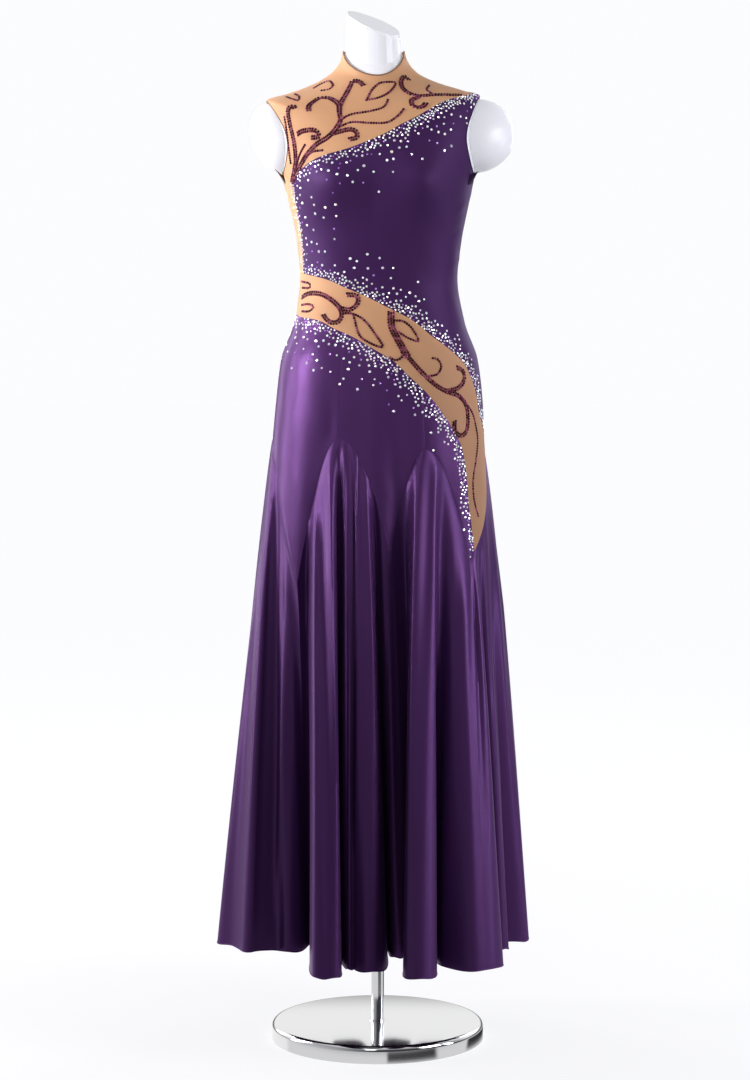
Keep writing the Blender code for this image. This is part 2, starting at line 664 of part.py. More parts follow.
def cut_yokes() -> None:
    """The mesh yokes, each with its half of the grown-on stand collar."""
    collar_top, shoulder_end = STATIONS[-1], YOKE_SEAM[-1, 1]
    left = ARMHOLES["left"]
    left_front = armhole_edge(left, True, SIDE_MESH_TOP, ARMHOLE_TOP, 13)
    left_shoulder = straight((LEFT_SIDE, ARMHOLE_TOP), (LEFT_SIDE, collar_top), 14)
    neck_front = straight((LEFT_SIDE, collar_top), (RIGHT_SIDE, collar_top), 27)
    right_shoulder = straight((RIGHT_SIDE, collar_top), (RIGHT_SIDE, shoulder_end), 10)
    front = joined(left_front, left_shoulder, neck_front, right_shoulder, YOKE_SEAM[::-1])
    add_panel("yoke_front", front, "mesh")

    seam = mirrored(YOKE_SEAM)
    centre = cut_at(seam, CENTRE_BACK)
    turn = np.array([360.0, 0.0])
    left_back = armhole_edge(left, False, ARMHOLE_TOP, SIDE_MESH_TOP, 13) + turn
    add_panel(
        "yoke_back_left",
        joined(
            straight((CENTRE_BACK, centre), (CENTRE_BACK, collar_top), 9),
            straight((CENTRE_BACK, collar_top), (270.0, collar_top), 14),
            left_shoulder[::-1] + turn,
            left_back,
            between(seam, 180.0 - SIDE_MESH_DEG[0], CENTRE_BACK),
        ),
        "mesh",
    )
    add_panel(
        "yoke_back_right",
        joined(
            straight((CENTRE_BACK, collar_top), (CENTRE_BACK, centre), 9),
            between(seam, CENTRE_BACK, RIGHT_SIDE),
            right_shoulder[::-1],
            straight((RIGHT_SIDE, collar_top), (CENTRE_BACK, collar_top), 14),
        ),
        "mesh",
    )


def cut_side_mesh() -> None:
    """The mesh under the left arm, which joins the yokes to the band."""
    left, back = ARMHOLES["left"], np.array([360.0, 0.0])
    waist = between(BAND_TOP, LEFT_SIDE, SIDE_MESH_DEG[1])
    outline = joined(
        SIDE_EDGE[::-1],
        armhole_edge(left, True, SIDE_MESH_TOP, ARMHOLE_BOTTOM, 6),
        armhole_edge(left, False, ARMHOLE_BOTTOM, SIDE_MESH_TOP, 6),
        mirrored(SIDE_EDGE) - back,
        (mirrored(waist) - back)[::-1],
        waist,
    )
    add_panel("side_mesh", outline, "mesh")


def cut_bodice() -> None:
    """The satin bodice: one front, and a back in two halves that close at the centre."""
    right = ARMHOLES["right"]
    shoulder = straight((RIGHT_SIDE, ARMHOLE_TOP), YOKE_SEAM[-1], 3)
    side_seam = straight((RIGHT_SIDE, BAND_MEETING), (RIGHT_SIDE, ARMHOLE_BOTTOM), 17)
    front = joined(
        between(BAND_TOP, SIDE_MESH_DEG[1], RIGHT_SIDE),
        side_seam,
        armhole_edge(right, True, ARMHOLE_BOTTOM, ARMHOLE_TOP, 14),
        shoulder,
        YOKE_SEAM[::-1],
        SIDE_EDGE,
    )
    add_panel("bodice_front", front, "satin")

    seam, line = mirrored(YOKE_SEAM), mirrored(BAND_TOP)
    top, foot = cut_at(seam, CENTRE_BACK), cut_at(line, CENTRE_BACK)
    closing = straight((CENTRE_BACK, foot), (CENTRE_BACK, top), 11)
    right_back = joined(
        between(line, CENTRE_BACK, RIGHT_SIDE),
        side_seam,
        armhole_edge(right, False, ARMHOLE_BOTTOM, ARMHOLE_TOP, 14),
        shoulder,
        between(seam, RIGHT_SIDE, CENTRE_BACK),
        closing[::-1],
    )
    add_panel("bodice_back_right", right_back, "satin")
    left_back = joined(
        between(line, CENTRE_BACK - SIDE_MESH_DEG[1], CENTRE_BACK),
        closing,
        between(seam, CENTRE_BACK, CENTRE_BACK - SIDE_MESH_DEG[0]),
        mirrored(SIDE_EDGE),
    )
    add_panel("bodice_back_left", left_back, "satin")


def cut_band() -> None:
    """The mesh band that winds from the left waist down to a tip on the right hip, front and back."""
    left_end = straight((LEFT_SIDE, BAND_SIDE_FOOT), (LEFT_SIDE, BAND_SIDE_TOP), 4)
    right_seam = straight((RIGHT_SIDE, BAND_MEETING), (RIGHT_SIDE, seam_height(RIGHT_SIDE)), 5)
    leg = arch_leg(RIGHT_SIDE, FRONT_FOOT[-1, 0])
    add_panel("band_front", joined(BAND_TOP, right_seam, leg, FRONT_FOOT[::-1], left_end), "mesh")

    top = mirrored(BAND_TOP)
    middle = cut_at(BACK_FOOT, CENTRE_BACK), cut_at(top, CENTRE_BACK)
    closing = straight((CENTRE_BACK, middle[0]), (CENTRE_BACK, middle[1]), 5)
    left = joined(
        closing,
        between(top, CENTRE_BACK, LEFT_SIDE + 360),
        mirrored(left_end)[::-1],
        between(BACK_FOOT, LEFT_SIDE + 360, CENTRE_BACK),
    )
    add_panel("band_back_left", left, "mesh")
    right = joined(
        closing[::-1],
        between(BACK_FOOT, CENTRE_BACK, BACK_FOOT[-1, 0]),
        arch_leg(BACK_FOOT[-1, 0], RIGHT_SIDE),
        right_seam[::-1],
        between(top, RIGHT_SIDE, CENTRE_BACK),
    )
    add_panel("band_back_right", right, "mesh")


def cut_hip_panels() -> None:
    """The six pointed satin hip panels, between the band and the arched seams."""
    peaks = [row.peak for row in ARCHES]
    panels = {
        "front_left": (FRONT_FOOT, peaks[0], peaks[1]),
        "front_middle": (FRONT_FOOT, peaks[1], peaks[2]),
        "front_right": (FRONT_FOOT, peaks[2], FRONT_FOOT[-1, 0]),
        "back_left": (BACK_FOOT, peaks[0] + 360, peaks[5]),
        "back_middle": (BACK_FOOT, peaks[5], peaks[4]),
        "back_right": (BACK_FOOT, peaks[4], BACK_FOOT[-1, 0]),
    }
    for name, (foot, start, end) in panels.items():
        top = between(foot, start, end)
        upright = [straight(point, (point[0], seam_height(point[0])), 6) for point in (top[0], top[-1])]
        add_panel(f"hip_panel_{name}", joined(top, upright[1], arch_leg(end, start), upright[0][::-1]), "satin")


# -------------------------------------------------------------------------------------------- the godets


def polar(angle: float, radius: float) -> np.ndarray:
    """A point of the hem line, in plan."""
    return radius * np.array([math.sin(math.radians(angle)), -math.cos(math.radians(angle))])


def hem_bends() -> tuple[np.ndarray, np.ndarray]:
    """(plan points of the hem's bends, the angles at which they leave the hip panels): four for each fold."""
    points, tops = [], []
    for index, fold in enumerate(FOLDS):
        last = FOLDS[index - 1]
        last_top = last.valley_top - (360 if index == 0 else 0)
        crown, outward = polar(fold.angle, fold.radius), polar(fold.facing, 1.0)
        along = np.array([-outward[1], outward[0]])
        behind = outward * LOBE_ROUNDNESS * fold.width
        points += [
            crown - along * fold.width / 2 - behind,
            crown,
            crown + along * fold.width / 2 - behind,
            polar(fold.valley_angle, fold.valley_radius),
        ]
        tops += [
            fold.top + LOBE_SPREAD * (last_top - fold.top),
            fold.top,
            fold.top + LOBE_SPREAD * (fold.valley_top - fold.top),
            fold.valley_top,
        ]
    return np.array(points), np.array(tops, float)


def hem_point(at: np.ndarray) -> np.ndarray:
    """Plan points of the hem line at these bend numbers, on a closed spline through the bends."""
    count = len(BENDS)
    place = np.floor(at).astype(int)
    a, b, c, d = (BENDS[(place + k) % count] for k in (-1, 0, 1, 2))
    step_1 = np.sqrt(np.linalg.norm(b - a, axis=1))[:, None]
    step_2 = np.sqrt(np.linalg.norm(c - b, axis=1))[:, None]
    step_3 = np.sqrt(np.linalg.norm(d - c, axis=1))[:, None]
    slope_b = step_2 * ((b - a) / step_1 - (c - a) / (step_1 + step_2) + (c - b) / step_2)
    slope_c = step_2 * ((c - b) / step_2 - (d - b) / (step_2 + step_3) + (d - c) / step_3)
    t = (at - place)[:, None]
    return (
        b * (1 + 2 * t) * (1 - t) ** 2
        + slope_b * t * (1 - t) ** 2
        + c * t**2 * (3 - 2 * t)
        - slope_c * t**2 * (1 - t)
    )


def top_angle(at: np.ndarray) -> np.ndarray:
    """The angle at which each bend number leaves the hip panels."""
    count = len(BEND_TOPS)
    stations = np.arange(-count, 2 * count, dtype=float)
    angles = np.concatenate([BEND_TOPS - 360, BEND_TOPS, BEND_TOPS + 360])
    return smooth_table(stations, angles[:, None], at)[:, 0]


def fall_power(at: np.ndarray) -> np.ndarray:
    """The power of its share of the way down by which each bend number nears the hem line."""
    nearest = np.floor((at + 1) / BENDS_PER_FOLD).astype(int) % len(FOLDS)
    crowns = np.array([fold.fall for fold in FOLDS])[nearest]
    phase = (at % BENDS_PER_FOLD - 1) * 2 * math.pi / BENDS_PER_FOLD
    return VALLEY_FALL + (crowns - VALLEY_FALL) * (1 + np.cos(phase)) / 2


def skirt_point(at: np.ndarray, down: np.ndarray) -> np.ndarray:
    """Points of the flared skirt, at these bend numbers and these shares of the way from seam to hem."""
    angles = top_angle(at)
    heights = np.array([seam_height(angle) for angle in angles])
    top = body_points(angles, heights)
    opened = (down ** fall_power(at))[:, None]
    plan = top[:, :2] * (1 - opened) + hem_point(at) * opened
    return np.column_stack([plan, heights + (HEM_HEIGHT - heights) * down])


def skirt_normal(at: np.ndarray, down: np.ndarray) -> np.ndarray:
    """Outward normals of the flared skirt."""
    step = 0.02
    low, high = np.clip(down - step, 0, 1), np.clip(down + step, 0, 1)
    round_way = skirt_point(at + step, down) - skirt_point(at - step, down)
    down_way = skirt_point(at, high) - skirt_point(at, low)
    normals = np.cross(down_way, round_way)
    return normals / np.linalg.norm(normals, axis=1)[:, None]


def bend_at(angle: float) -> float:
    """The bend number that leaves the hip panels at an angle."""
    stations = np.linspace(-3 * BENDS_PER_FOLD, len(BENDS) + BENDS_PER_FOLD, BEND_SAMPLES)
    return float(np.interp(angle, top_angle(stations), stations))


def godet_columns(start: float, peak: float, end: float) -> np.ndarray:
    """The bend numbers of a godet's columns: its two sides, its peak, and even steps between them."""
    low, middle, high = bend_at(start), bend_at(peak), bend_at(end)
    first = np.linspace(low, middle, round((middle - low) * COLUMNS_PER_BEND) + 1)
    last = np.linspace(middle, high, round((high - middle) * COLUMNS_PER_BEND) + 1)
    return np.concatenate([first, last[1:]])


def cut_godet(name: str, columns: np.ndarray) -> None:
    """One godet, from the point of one hip panel to the point of the next."""
    rows = np.array(GODET_ROWS)
    at, down = (grid.ravel() for grid in np.meshgrid(columns, rows))
    outer = skirt_point(at, down)
    normals = skirt_normal(at, np.maximum(down, GODET_ROWS[1] / 2))
    angles = top_angle(columns)
    heights = np.array([seam_height(angle) for angle in angles])
    at_seam, across, up = body_frame(angles, heights)
    normals[: len(columns)] = at_seam

    grid = outer.reshape(len(rows), len(columns), 3)
    half = SEAM_GAP / 2
    slope = np.gradient(heights, angles) * up / across
    way = np.column_stack([slope, -np.ones(len(slope))])
    way /= np.linalg.norm(way, axis=1)[:, None]
    grid[0] = body_points(angles + half * way[:, 0] / across, heights + half * way[:, 1] / up)
    fall = np.gradient(grid, axis=0)
    for edge, inwards in ((0, 1), (-1, -1)):
        sideways = np.cross(normals.reshape(grid.shape)[:, edge], fall[:, edge]) * inwards
        sideways /= np.linalg.norm(sideways, axis=1)[:, None]
        grid[:, edge] += sideways * half
    faces = []
    for row in range(len(rows) - 1):
        for column in range(len(columns) - 1):
            corner = row * len(columns) + column
            faces.append((corner, corner + len(columns), corner + len(columns) + 1, corner + 1))
    add_wall(name, outer, outer - normals * CLOTH, faces, "satin")


def cut_godets() -> None:
    """The six godets, named by the side of the dress that each peaks at."""
    for name, columns in GODETS.items():
        cut_godet(f"godet_{name}", columns)


def plan_godets() -> dict[str, np.ndarray]:
    """The columns of each godet, by name."""
    names = ("side_left", "front_left", "front_right", "side_right", "back_right", "back_left")
    points = [ARCHES[-1].point - 360, *(row.point for row in ARCHES)]
    spans = {name: (points[i], ARCHES[i].peak, points[i + 1]) for i, name in enumerate(names)}
    return {name: godet_columns(*span) for name, span in spans.items()}


# ------------------------------------------------------------------------------------ the form and stand


def form_points(angles: np.ndarray, paths: np.ndarray) -> np.ndarray:
    """Points on the dress form's torso, just inside the cloth and rounder than it at the shoulder tips."""
    normals, _, _ = body_frame(angles, paths)
    tip = np.exp(-(((paths - TIP_ROUNDING["path"]) / TIP_ROUNDING["spread"]) ** 2))
    depth = CLOTH + FORM_GAP + TIP_ROUNDING["depth"] * tip * np.sin(np.radians(angles)) ** 4
    return body_points(angles, paths, BUST["form_rise"]) - normals * depth[:, None]


def form_angles() -> np.ndarray:
    """The angles of the form's columns."""
    return np.arange(FORM_COLUMNS) * 360.0 / FORM_COLUMNS - 180.0


def add_form() -> None:
    """The dress form: hips, torso and neck, in one smooth closed solid."""
    angles = form_angles()
    rings = [ring_points(np.tile(row[2:], (len(angles), 1)), angles) for row in HIPS]
    rings += [form_points(angles, np.full(len(angles), path)) for path in FORM_PATHS]
    for row in NECK:
        ring = ring_points(np.tile(row[2:], (len(angles), 1)), angles, COLLAR_BOW)
        if row.name == "neck top":
            ring[:, 2] = neck_top_height(ring)
        rings.append(ring)
    ring_stack(rings, "dress_form", "form")


def add_shoulder_cap(name: str, hole: Armhole) -> None:
    """A rounded cap that sits on the form by its rim and fills most of the armhole."""
    half = np.linspace(0, math.pi, CAP_SIDES // 2 + 1)
    rings = []
    for share in CAP_RINGS:
        front = armhole_point(hole, True, half, CAP_SHARE * share)
        back = armhole_point(hole, False, half, CAP_SHARE * share)
        ring = np.vstack([front, back[-2:0:-1]])
        seat = form_points(*ring.T)
        normals, _, _ = body_frame(*ring.T)
        rings.append((share, seat, normals))
    outwards = np.array([math.copysign(1.0, hole.side), 0.0, 0.0])
    bm = bmesh.new()
    loops = []
    for share, seat, normals in (rings[-1], rings[len(rings) // 2], rings[0]):
        lift = CAP_GAP + (CAP_HOLLOW if share < 1 else 0.0)
        loops.append([bm.verts.new(p) for p in seat + normals * lift])
    for share, seat, normals in rings:
        dome = hole.cap_reach * (1 - share**2) ** 0.5 * outwards
        loops.append([bm.verts.new(p) for p in seat + normals * (CAP_GAP + CAP_RIM) + dome])
    for low, high in zip(loops, loops[1:]):
        for i in range(CAP_SIDES):
            j = (i + 1) % CAP_SIDES
            bm.faces.new((low[i], low[j], high[j], high[i]))
    bm.faces.new(loops[0])
    bm.faces.new(loops[-1])
    bmesh.ops.recalc_face_normals(bm, faces=bm.faces)
    bmesh.ops.triangulate(bm, faces=[f for f in bm.faces if len(f.verts) > 4])
    add_object(name, bm, "form")


def neck_top_height(points: np.ndarray) -> np.ndarray:
    """Height of the slanting cut across the neck, above these points."""
    slope = NECK_TOP["side_slope"] * points[:, 0] + NECK_TOP["front_slope"] * points[:, 1]
    return NECK_TOP["height"] + slope


def add_neck_cap() -> None:
    """The flat plate that closes the neck."""
    row = np.array(NECK[-1][2:])
    row[:4] -= CAP_INSET
    low = ring_points(np.tile(row, (FORM_COLUMNS, 1)), form_angles())
    low[:, 2] = neck_top_height(low) + SEAM_GAP
    high = low + (0, 0, NECK_CAP_THICKNESS)
    ring_stack([low, high], "neck_cap", "form")


def turned(name: str, profile: list[tuple[float, float]], sides: int, finish: str) -> None:
    """A solid of revolution round the pole's axis, from (radius, height) points, lowest first."""
    angles = np.arange(sides) * 2 * math.pi / sides
    rings = []
    for radius, height in profile:
        circle = np.column_stack([radius * np.cos(angles), radius * np.sin(angles)])
        rings.append(np.column_stack([circle, np.full(sides, height)]))
    ring_stack(rings, name, finish)


def add_stand() -> None:
    """The chrome disc with its rounded rim, and the pole that carries the form."""
    rim = BASE_RADIUS - BASE_FOOT_RADIUS
    profile = [(BASE_FOOT_RADIUS, 0.0)]
    for step in range(1, RIM_STEPS):
        turn = math.pi * (step / RIM_STEPS - 0.5) * RIM_TURN
        profile.append((BASE_FOOT_RADIUS + rim * math.cos(turn), BASE_THICKNESS * (1 + math.sin(turn)) / 2))
    profile.append((BASE_TOP_RADIUS, BASE_THICKNESS))
    turned("base_disc", profile, BASE_SIDES, "chrome")
    low, high = BASE_THICKNESS + SEAM_GAP, FORM_FLOOR - SEAM_GAP
    turned("pole", [(POLE_RADIUS, low), (POLE_RADIUS, high)], POLE_SIDES, "chrome")


BENDS, BEND_TOPS = hem_bends()
GODETS = plan_godets()
SEAM_ANGLES = sorted({float(angle) for columns in GODETS.values() for angle in top_angle(columns) % 360})
BAND_TOP = band_top()
BAND_FOOT = spline_through(np.vstack([(LEFT_SIDE, BAND_SIDE_FOOT), on_front(BAND_FOOT_LINE)]), 34)
FRONT_FOOT, BACK_FOOT = down_to_arches(BAND_FOOT), down_to_arches(mirrored(BAND_FOOT))
YOKE_SEAM = yoke_seam()
SIDE_EDGE = side_mesh_edge()


def main() -> None:
    """Clears the scene and builds the dress, the form and the stand."""
    for obj in list(bpy.data.objects):
        bpy.data.objects.remove(obj)
    makers: tuple[Callable[[], None], ...] = (
        cut_yokes,
        cut_side_mesh,
        cut_bodice,
        cut_band,
        cut_hip_panels,
        cut_godets,
        add_form,
        add_neck_cap,
        add_stand,
    )
    for make in makers:
        make()
    for name, hole in ARMHOLES.items():
        add_shoulder_cap(f"shoulder_cap_{name}", hole)


main()
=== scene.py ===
"""The looks of a ballroom dance dress on its dress form: cloth, beading, form, stand and studio.

Angles go round the dress from the front (0), positive towards +X; 180 is the centre back. A path is the
way up a panel: the height as far as the underarm, then on over the shoulder to the top of the collar.
All sizes are in metres.
"""

import logging
import math
from dataclasses import dataclass
from enum import Enum
from itertools import product
from typing import NamedTuple

import bmesh
import bpy
import numpy as np
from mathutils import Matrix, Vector
from mathutils.geometry import delaunay_2d_cdt
from mathutils.kdtree import KDTree


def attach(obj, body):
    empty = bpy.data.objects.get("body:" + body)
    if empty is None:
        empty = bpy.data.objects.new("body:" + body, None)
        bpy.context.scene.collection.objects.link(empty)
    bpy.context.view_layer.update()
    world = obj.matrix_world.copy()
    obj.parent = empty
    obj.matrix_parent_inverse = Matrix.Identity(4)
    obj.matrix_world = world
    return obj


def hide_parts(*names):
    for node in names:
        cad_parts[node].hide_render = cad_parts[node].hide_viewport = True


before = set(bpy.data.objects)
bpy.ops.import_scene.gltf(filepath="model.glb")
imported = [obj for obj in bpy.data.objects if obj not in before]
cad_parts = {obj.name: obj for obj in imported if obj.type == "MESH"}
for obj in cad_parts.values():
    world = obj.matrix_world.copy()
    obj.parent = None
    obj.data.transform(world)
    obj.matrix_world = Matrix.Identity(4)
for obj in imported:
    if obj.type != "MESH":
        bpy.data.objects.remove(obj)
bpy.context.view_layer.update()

log = logging.getLogger("dress")
Points = np.ndarray
Faces = list[tuple[int, ...]]
Piece = bpy.types.Object
Pair = tuple[float, float]
Triple = tuple[float, float, float]
Colour = tuple[float, float, float, float]

LEFT_SIDE, RIGHT_SIDE, CENTRE_BACK = -90.0, 90.0, 180.0
COLOUR_MIX_INPUTS, COLOUR_MIX_OUTPUT = (0, 6, 7), 2  # of a Mix node: factor, first and second colour; result
NOISE_ROUGHNESS = 0.55


# ---- shader maths


class Value:
    """A shader value. Python's operators on it add Math nodes."""

    def __init__(self, graph: "Graph", socket: bpy.types.NodeSocket) -> None:
        """Keeps a graph's node output, which carries the value."""
        self.graph, self.socket = graph, socket

    def maths(self, operation: str, *values: "Value | float") -> "Value":
        """A Math node on these values."""
        return self.graph.node("Math", {"operation": operation}, *values)

    def __add__(self, other: "Value | float") -> "Value":
        """self + other."""
        return self.maths("ADD", self, other)

    def __sub__(self, other: "Value | float") -> "Value":
        """self - other."""
        return self.maths("SUBTRACT", self, other)

    def __rsub__(self, other: float) -> "Value":
        """other - self."""
        return self.maths("SUBTRACT", other, self)

    def __mul__(self, other: "Value | float") -> "Value":
        """self * other."""
        return self.maths("MULTIPLY", self, other)

    def __pow__(self, other: "Value | float") -> "Value":
        """self ** other."""
        return self.maths("POWER", self, other)

    __radd__ = __add__
    __rmul__ = __mul__


class Graph:
    """The node graph of one material, or of the world."""

    def __init__(self, tree: bpy.types.NodeTree, shader: str = "Principled BSDF") -> None:
        """Starts from the node of this name, a shader that the tree already has."""
        self.tree = tree
        self.shader = tree.nodes[shader]

    def feed(self, socket: bpy.types.NodeSocket, value: "Value | float | tuple") -> None:
        """Links a value to an input, or sets the input's own number or colour.

        Args:
            socket: the input.
            value: what feeds it.
        """
        if isinstance(value, Value):
            self.tree.links.new(value.socket, socket)
        else:
            socket.default_value = value

    def node(
        self,
        kind: str,
        settings: dict | None = None,
        *values: "Value | float",
        output: int | str = 0,
        **inputs: "Value | float | tuple",
    ) -> Value:
        """Adds a node.

        Args:
            kind: its type, without the ShaderNode prefix.
            settings: its own settings, set first; `stops` are a ramp's (place, colour) pairs.
            values: what feeds its inputs, in order.
            output: which of its outputs to return.
            inputs: what feeds its inputs, by name.

        Returns:
            The chosen output.
        """
        node = self.tree.nodes.new("ShaderNode" + kind)
        for key, value in (settings or {}).items():
            if key == "stops":
                ramp = node.color_ramp.elements
                for index, (place, colour) in enumerate(value):
                    stop = ramp[index] if index < len(ramp) else ramp.new(place)
                    stop.position, stop.color = place, colour
            else:
                setattr(node, key, value)
        for index, value in enumerate(values):
            self.feed(node.inputs[index], value)
        for name, value in inputs.items():
            self.feed(node.inputs[name.replace("_", " ")], value)
        return Value(self, node.outputs[output])

    def mix(
        self, factor: "Value | float", first: "Value | Colour", second: "Value | Colour", blend: str = "MIX"
    ) -> Value:
        """A blend of two colours.

        Args:
            factor: how much of the second colour.
            first: the first colour.
            second: the second colour.
            blend: the blend mode.

        Returns:
            The mixed colour.
        """
        node = self.tree.nodes.new("ShaderNodeMix")
        node.data_type, node.blend_type = "RGBA", blend
        for index, value in zip(COLOUR_MIX_INPUTS, (factor, first, second)):
            self.feed(node.inputs[index], value)
        return Value(self, node.outputs[COLOUR_MIX_OUTPUT])

    def noise(self, where: Value, stretch: Triple, detail: float = 3.0) -> Value:
        """Noise from 0 to 1, with this many waves a metre along each axis."""
        place = self.node("Mapping", None, Vector=where, Scale=stretch)
        return self.node("TexNoise", None, Vector=place, Scale=1.0, Detail=detail, Roughness=NOISE_ROUGHNESS)

    def set(self, **inputs: "Value | float | tuple") -> None:
        """Feeds the shader's inputs, by name."""
        for name, value in inputs.items():
            self.feed(self.shader.inputs[name.replace("_", " ")], value)


def wave_scale(pitch: float) -> float:
    """The Scale at which the bands of a wave texture repeat at this pitch."""
    return math.pi / 10 / pitch


@dataclass(frozen=True)
class Finish:
    """A finish: the name of its material, and the record's slot that it belongs to."""

    name: str
    slot: str

    def material(self) -> bpy.types.Material:
        """The finish's material, made once.

        Returns:
            The material.
        """
        material = bpy.data.materials.get(self.name)
        if material is None:
            material = bpy.data.materials.new(self.name)
            material.use_nodes = True
            self.wire(Graph(material.node_tree))
        return material

    def wire(self, graph: Graph) -> None:
        """Adds the finish's nodes to its material's graph."""
        raise NotImplementedError


@dataclass(frozen=True)
class Satin(Finish):
    """Woven satin: glossy floats along the length, and a colour that drifts slightly."""

    deep: Colour
    light: Colour
    gloss: Colour
    roughness: float
    metallic: float
    shine: float
    sheen: float
    thread: float = 0.0006
    drift_waves: Triple = (7.0, 7.0, 2.2)
    streak_waves: Triple = (900.0, 14.0, 1.0)
    streak_share: float = 0.3
    unevenness: float = 0.1
    slub_waves: Triple = (260.0, 40.0, 1.0)

    def wire(self, graph: Graph) -> None:
        """Adds the drift of colour, the streaks of the floats and the weave.

        Args:
            graph: the material's graph.
        """
        where = graph.node("TexCoord", output="Object")
        cloth = graph.node("TexCoord", output="UV")
        drift = graph.noise(where, self.drift_waves)
        streaks = graph.noise(cloth, self.streak_waves, 2.0)
        rows = {"Vector": cloth, "Scale": wave_scale(self.thread), "Distortion": 0.4, "Detail": 1.0}
        twill = graph.node("TexWave", {"bands_direction": "DIAGONAL"}, **rows)
        slubs = graph.noise(cloth, self.slub_waves, 2.0)
        tone = drift * (1 - self.streak_share) + streaks * self.streak_share
        graph.set(
            Base_Color=graph.mix(tone, self.deep, self.light),
            Roughness=self.roughness + (drift - 0.5) * self.unevenness + (streaks - 0.5) * self.unevenness,
            Metallic=self.metallic,
            Specular_Tint=self.gloss,
            Specular_IOR_Level=self.shine,
            Sheen_Weight=self.sheen,
            Sheen_Roughness=0.4,
            Sheen_Tint=self.gloss,
            Normal=graph.node("Bump", None, Strength=0.2, Distance=0.0001, Height=twill * 0.5 + slubs * 0.8),
        )


@dataclass(frozen=True)
class Net(Finish):
    """Stretch illusion mesh: a skin tone knit with fine holes in rows, with painted shade that darkens it
    downwards and towards +X.
    """

    deep: Colour
    light: Colour
    # Painted shade: below shade_from and towards +X the net's colour darkens towards this tone, as on the
    # side away from the key light.
    painted_shade: Colour = (0.2, 0.085, 0.042, 1.0)
    shade_from: float = 1.26  # the height below which the net darkens towards its shade
    shade_down: float = 1.3  # how much, a metre down
    shade_across: float = 0.9  # how much, a metre across
    shade_most: float = 0.6
    hole_tone: Colour = (0.22, 0.105, 0.045, 1.0)
    hole_share: float = 0.22
    pitch: float = 0.0013

    def wire(self, graph: Graph) -> None:
        """Adds the knit's holes, the soft drift of tone, the painted shade and the relief.

        Args:
            graph: the material's graph.
        """
        where = graph.node("TexCoord", output="Object")
        cloth = graph.node("TexCoord", output="UV")
        drift = graph.noise(where, (14.0, 14.0, 14.0))
        scale = wave_scale(self.pitch)
        across = graph.node("TexWave", {"bands_direction": "DIAGONAL"}, Vector=cloth, Scale=scale)
        turned = graph.node("Mapping", None, Vector=cloth, Rotation=(0.0, 0.0, math.pi / 2))
        along = graph.node("TexWave", {"bands_direction": "DIAGONAL"}, Vector=turned, Scale=scale)
        holes = across * along
        tone = graph.mix(drift, self.deep, self.light)
        across_body, up = (graph.node("SeparateXYZ", None, where, output=axis) for axis in ("X", "Z"))
        # painted shade: darker downwards and towards +X
        painted_shade_share = (self.shade_from - up) * self.shade_down + across_body * self.shade_across
        tone = graph.mix(graph.node("Clamp", None, painted_shade_share, 0.0, self.shade_most), tone, self.painted_shade)
        graph.set(
            Base_Color=graph.mix(holes * self.hole_share, tone, self.hole_tone),
            Roughness=0.62 + drift * 0.12,
            Sheen_Weight=0.25,
            Sheen_Roughness=0.5,
            Sheen_Tint=(1.0, 0.85, 0.7, 1.0),
            Normal=graph.node("Bump", None, Strength=0.3, Distance=0.0002, Height=1.0 - holes),
        )


@dataclass(frozen=True)
class Lacquer(Finish):
    """Sprayed satin-gloss plastic with a faint orange peel, and a painted glow: it emits its light colour
    though it is no lamp.
    """

    deep: Colour
    light: Colour
    roughness: float
    painted_glow: float

    def wire(self, graph: Graph) -> None:
        """Adds the faint mottle, the orange peel under the clear coat and the painted glow.

        Args:
            graph: the material's graph.
        """
        where = graph.node("TexCoord", output="Object")
        mottle = graph.noise(where, (9.0, 9.0, 9.0))
        peel = graph.noise(where, (420.0, 420.0, 420.0), 2.0)
        graph.set(
            Base_Color=graph.mix(mottle, self.deep, self.light),
            Roughness=self.roughness + mottle * 0.08,
            Coat_Weight=0.2,
            Coat_Roughness=0.15,
            # painted light: the plastic emits its own light colour
            Emission_Color=self.light,
            Emission_Strength=self.painted_glow,
            Normal=graph.node("Bump", None, Strength=0.05, Distance=0.0003, Height=peel),
        )


@dataclass(frozen=True)
class Chrome(Finish):
    """Polished plate with faint wipe marks."""

    colour: Colour

    def wire(self, graph: Graph) -> None:
        """Adds the wipe marks to the polish, on the material's graph."""
        wipes = graph.noise(graph.node("TexCoord", output="Object"), (26.0, 7.0, 14.0), 5.0)
        graph.set(Base_Color=self.colour, Metallic=1.0, Roughness=0.03 + wipes**3.0 * 0.16)


@dataclass(frozen=True)
class Stone(Finish):
    """Cut glass with a foiled back, or a polished sequin, in the tint that each facet carries."""

    roughness: float
    metallic: float
    coat: float
    painted_glow: float = 0.0

    def wire(self, graph: Graph) -> None:
        """Reads the facets' tint, and adds a painted glow in that tint where it has one.

        Args:
            graph: the material's graph.
        """
        tint = graph.node("Attribute", {"attribute_name": "tint"}, output="Color")
        graph.set(
            Base_Color=tint,
            Metallic=self.metallic,
            Roughness=self.roughness,
            Coat_Weight=self.coat,
            Coat_Roughness=0.05,
        )
        # painted light: the stones emit their tint, like glints
        if self.painted_glow:
            graph.set(Emission_Color=tint, Emission_Strength=self.painted_glow)


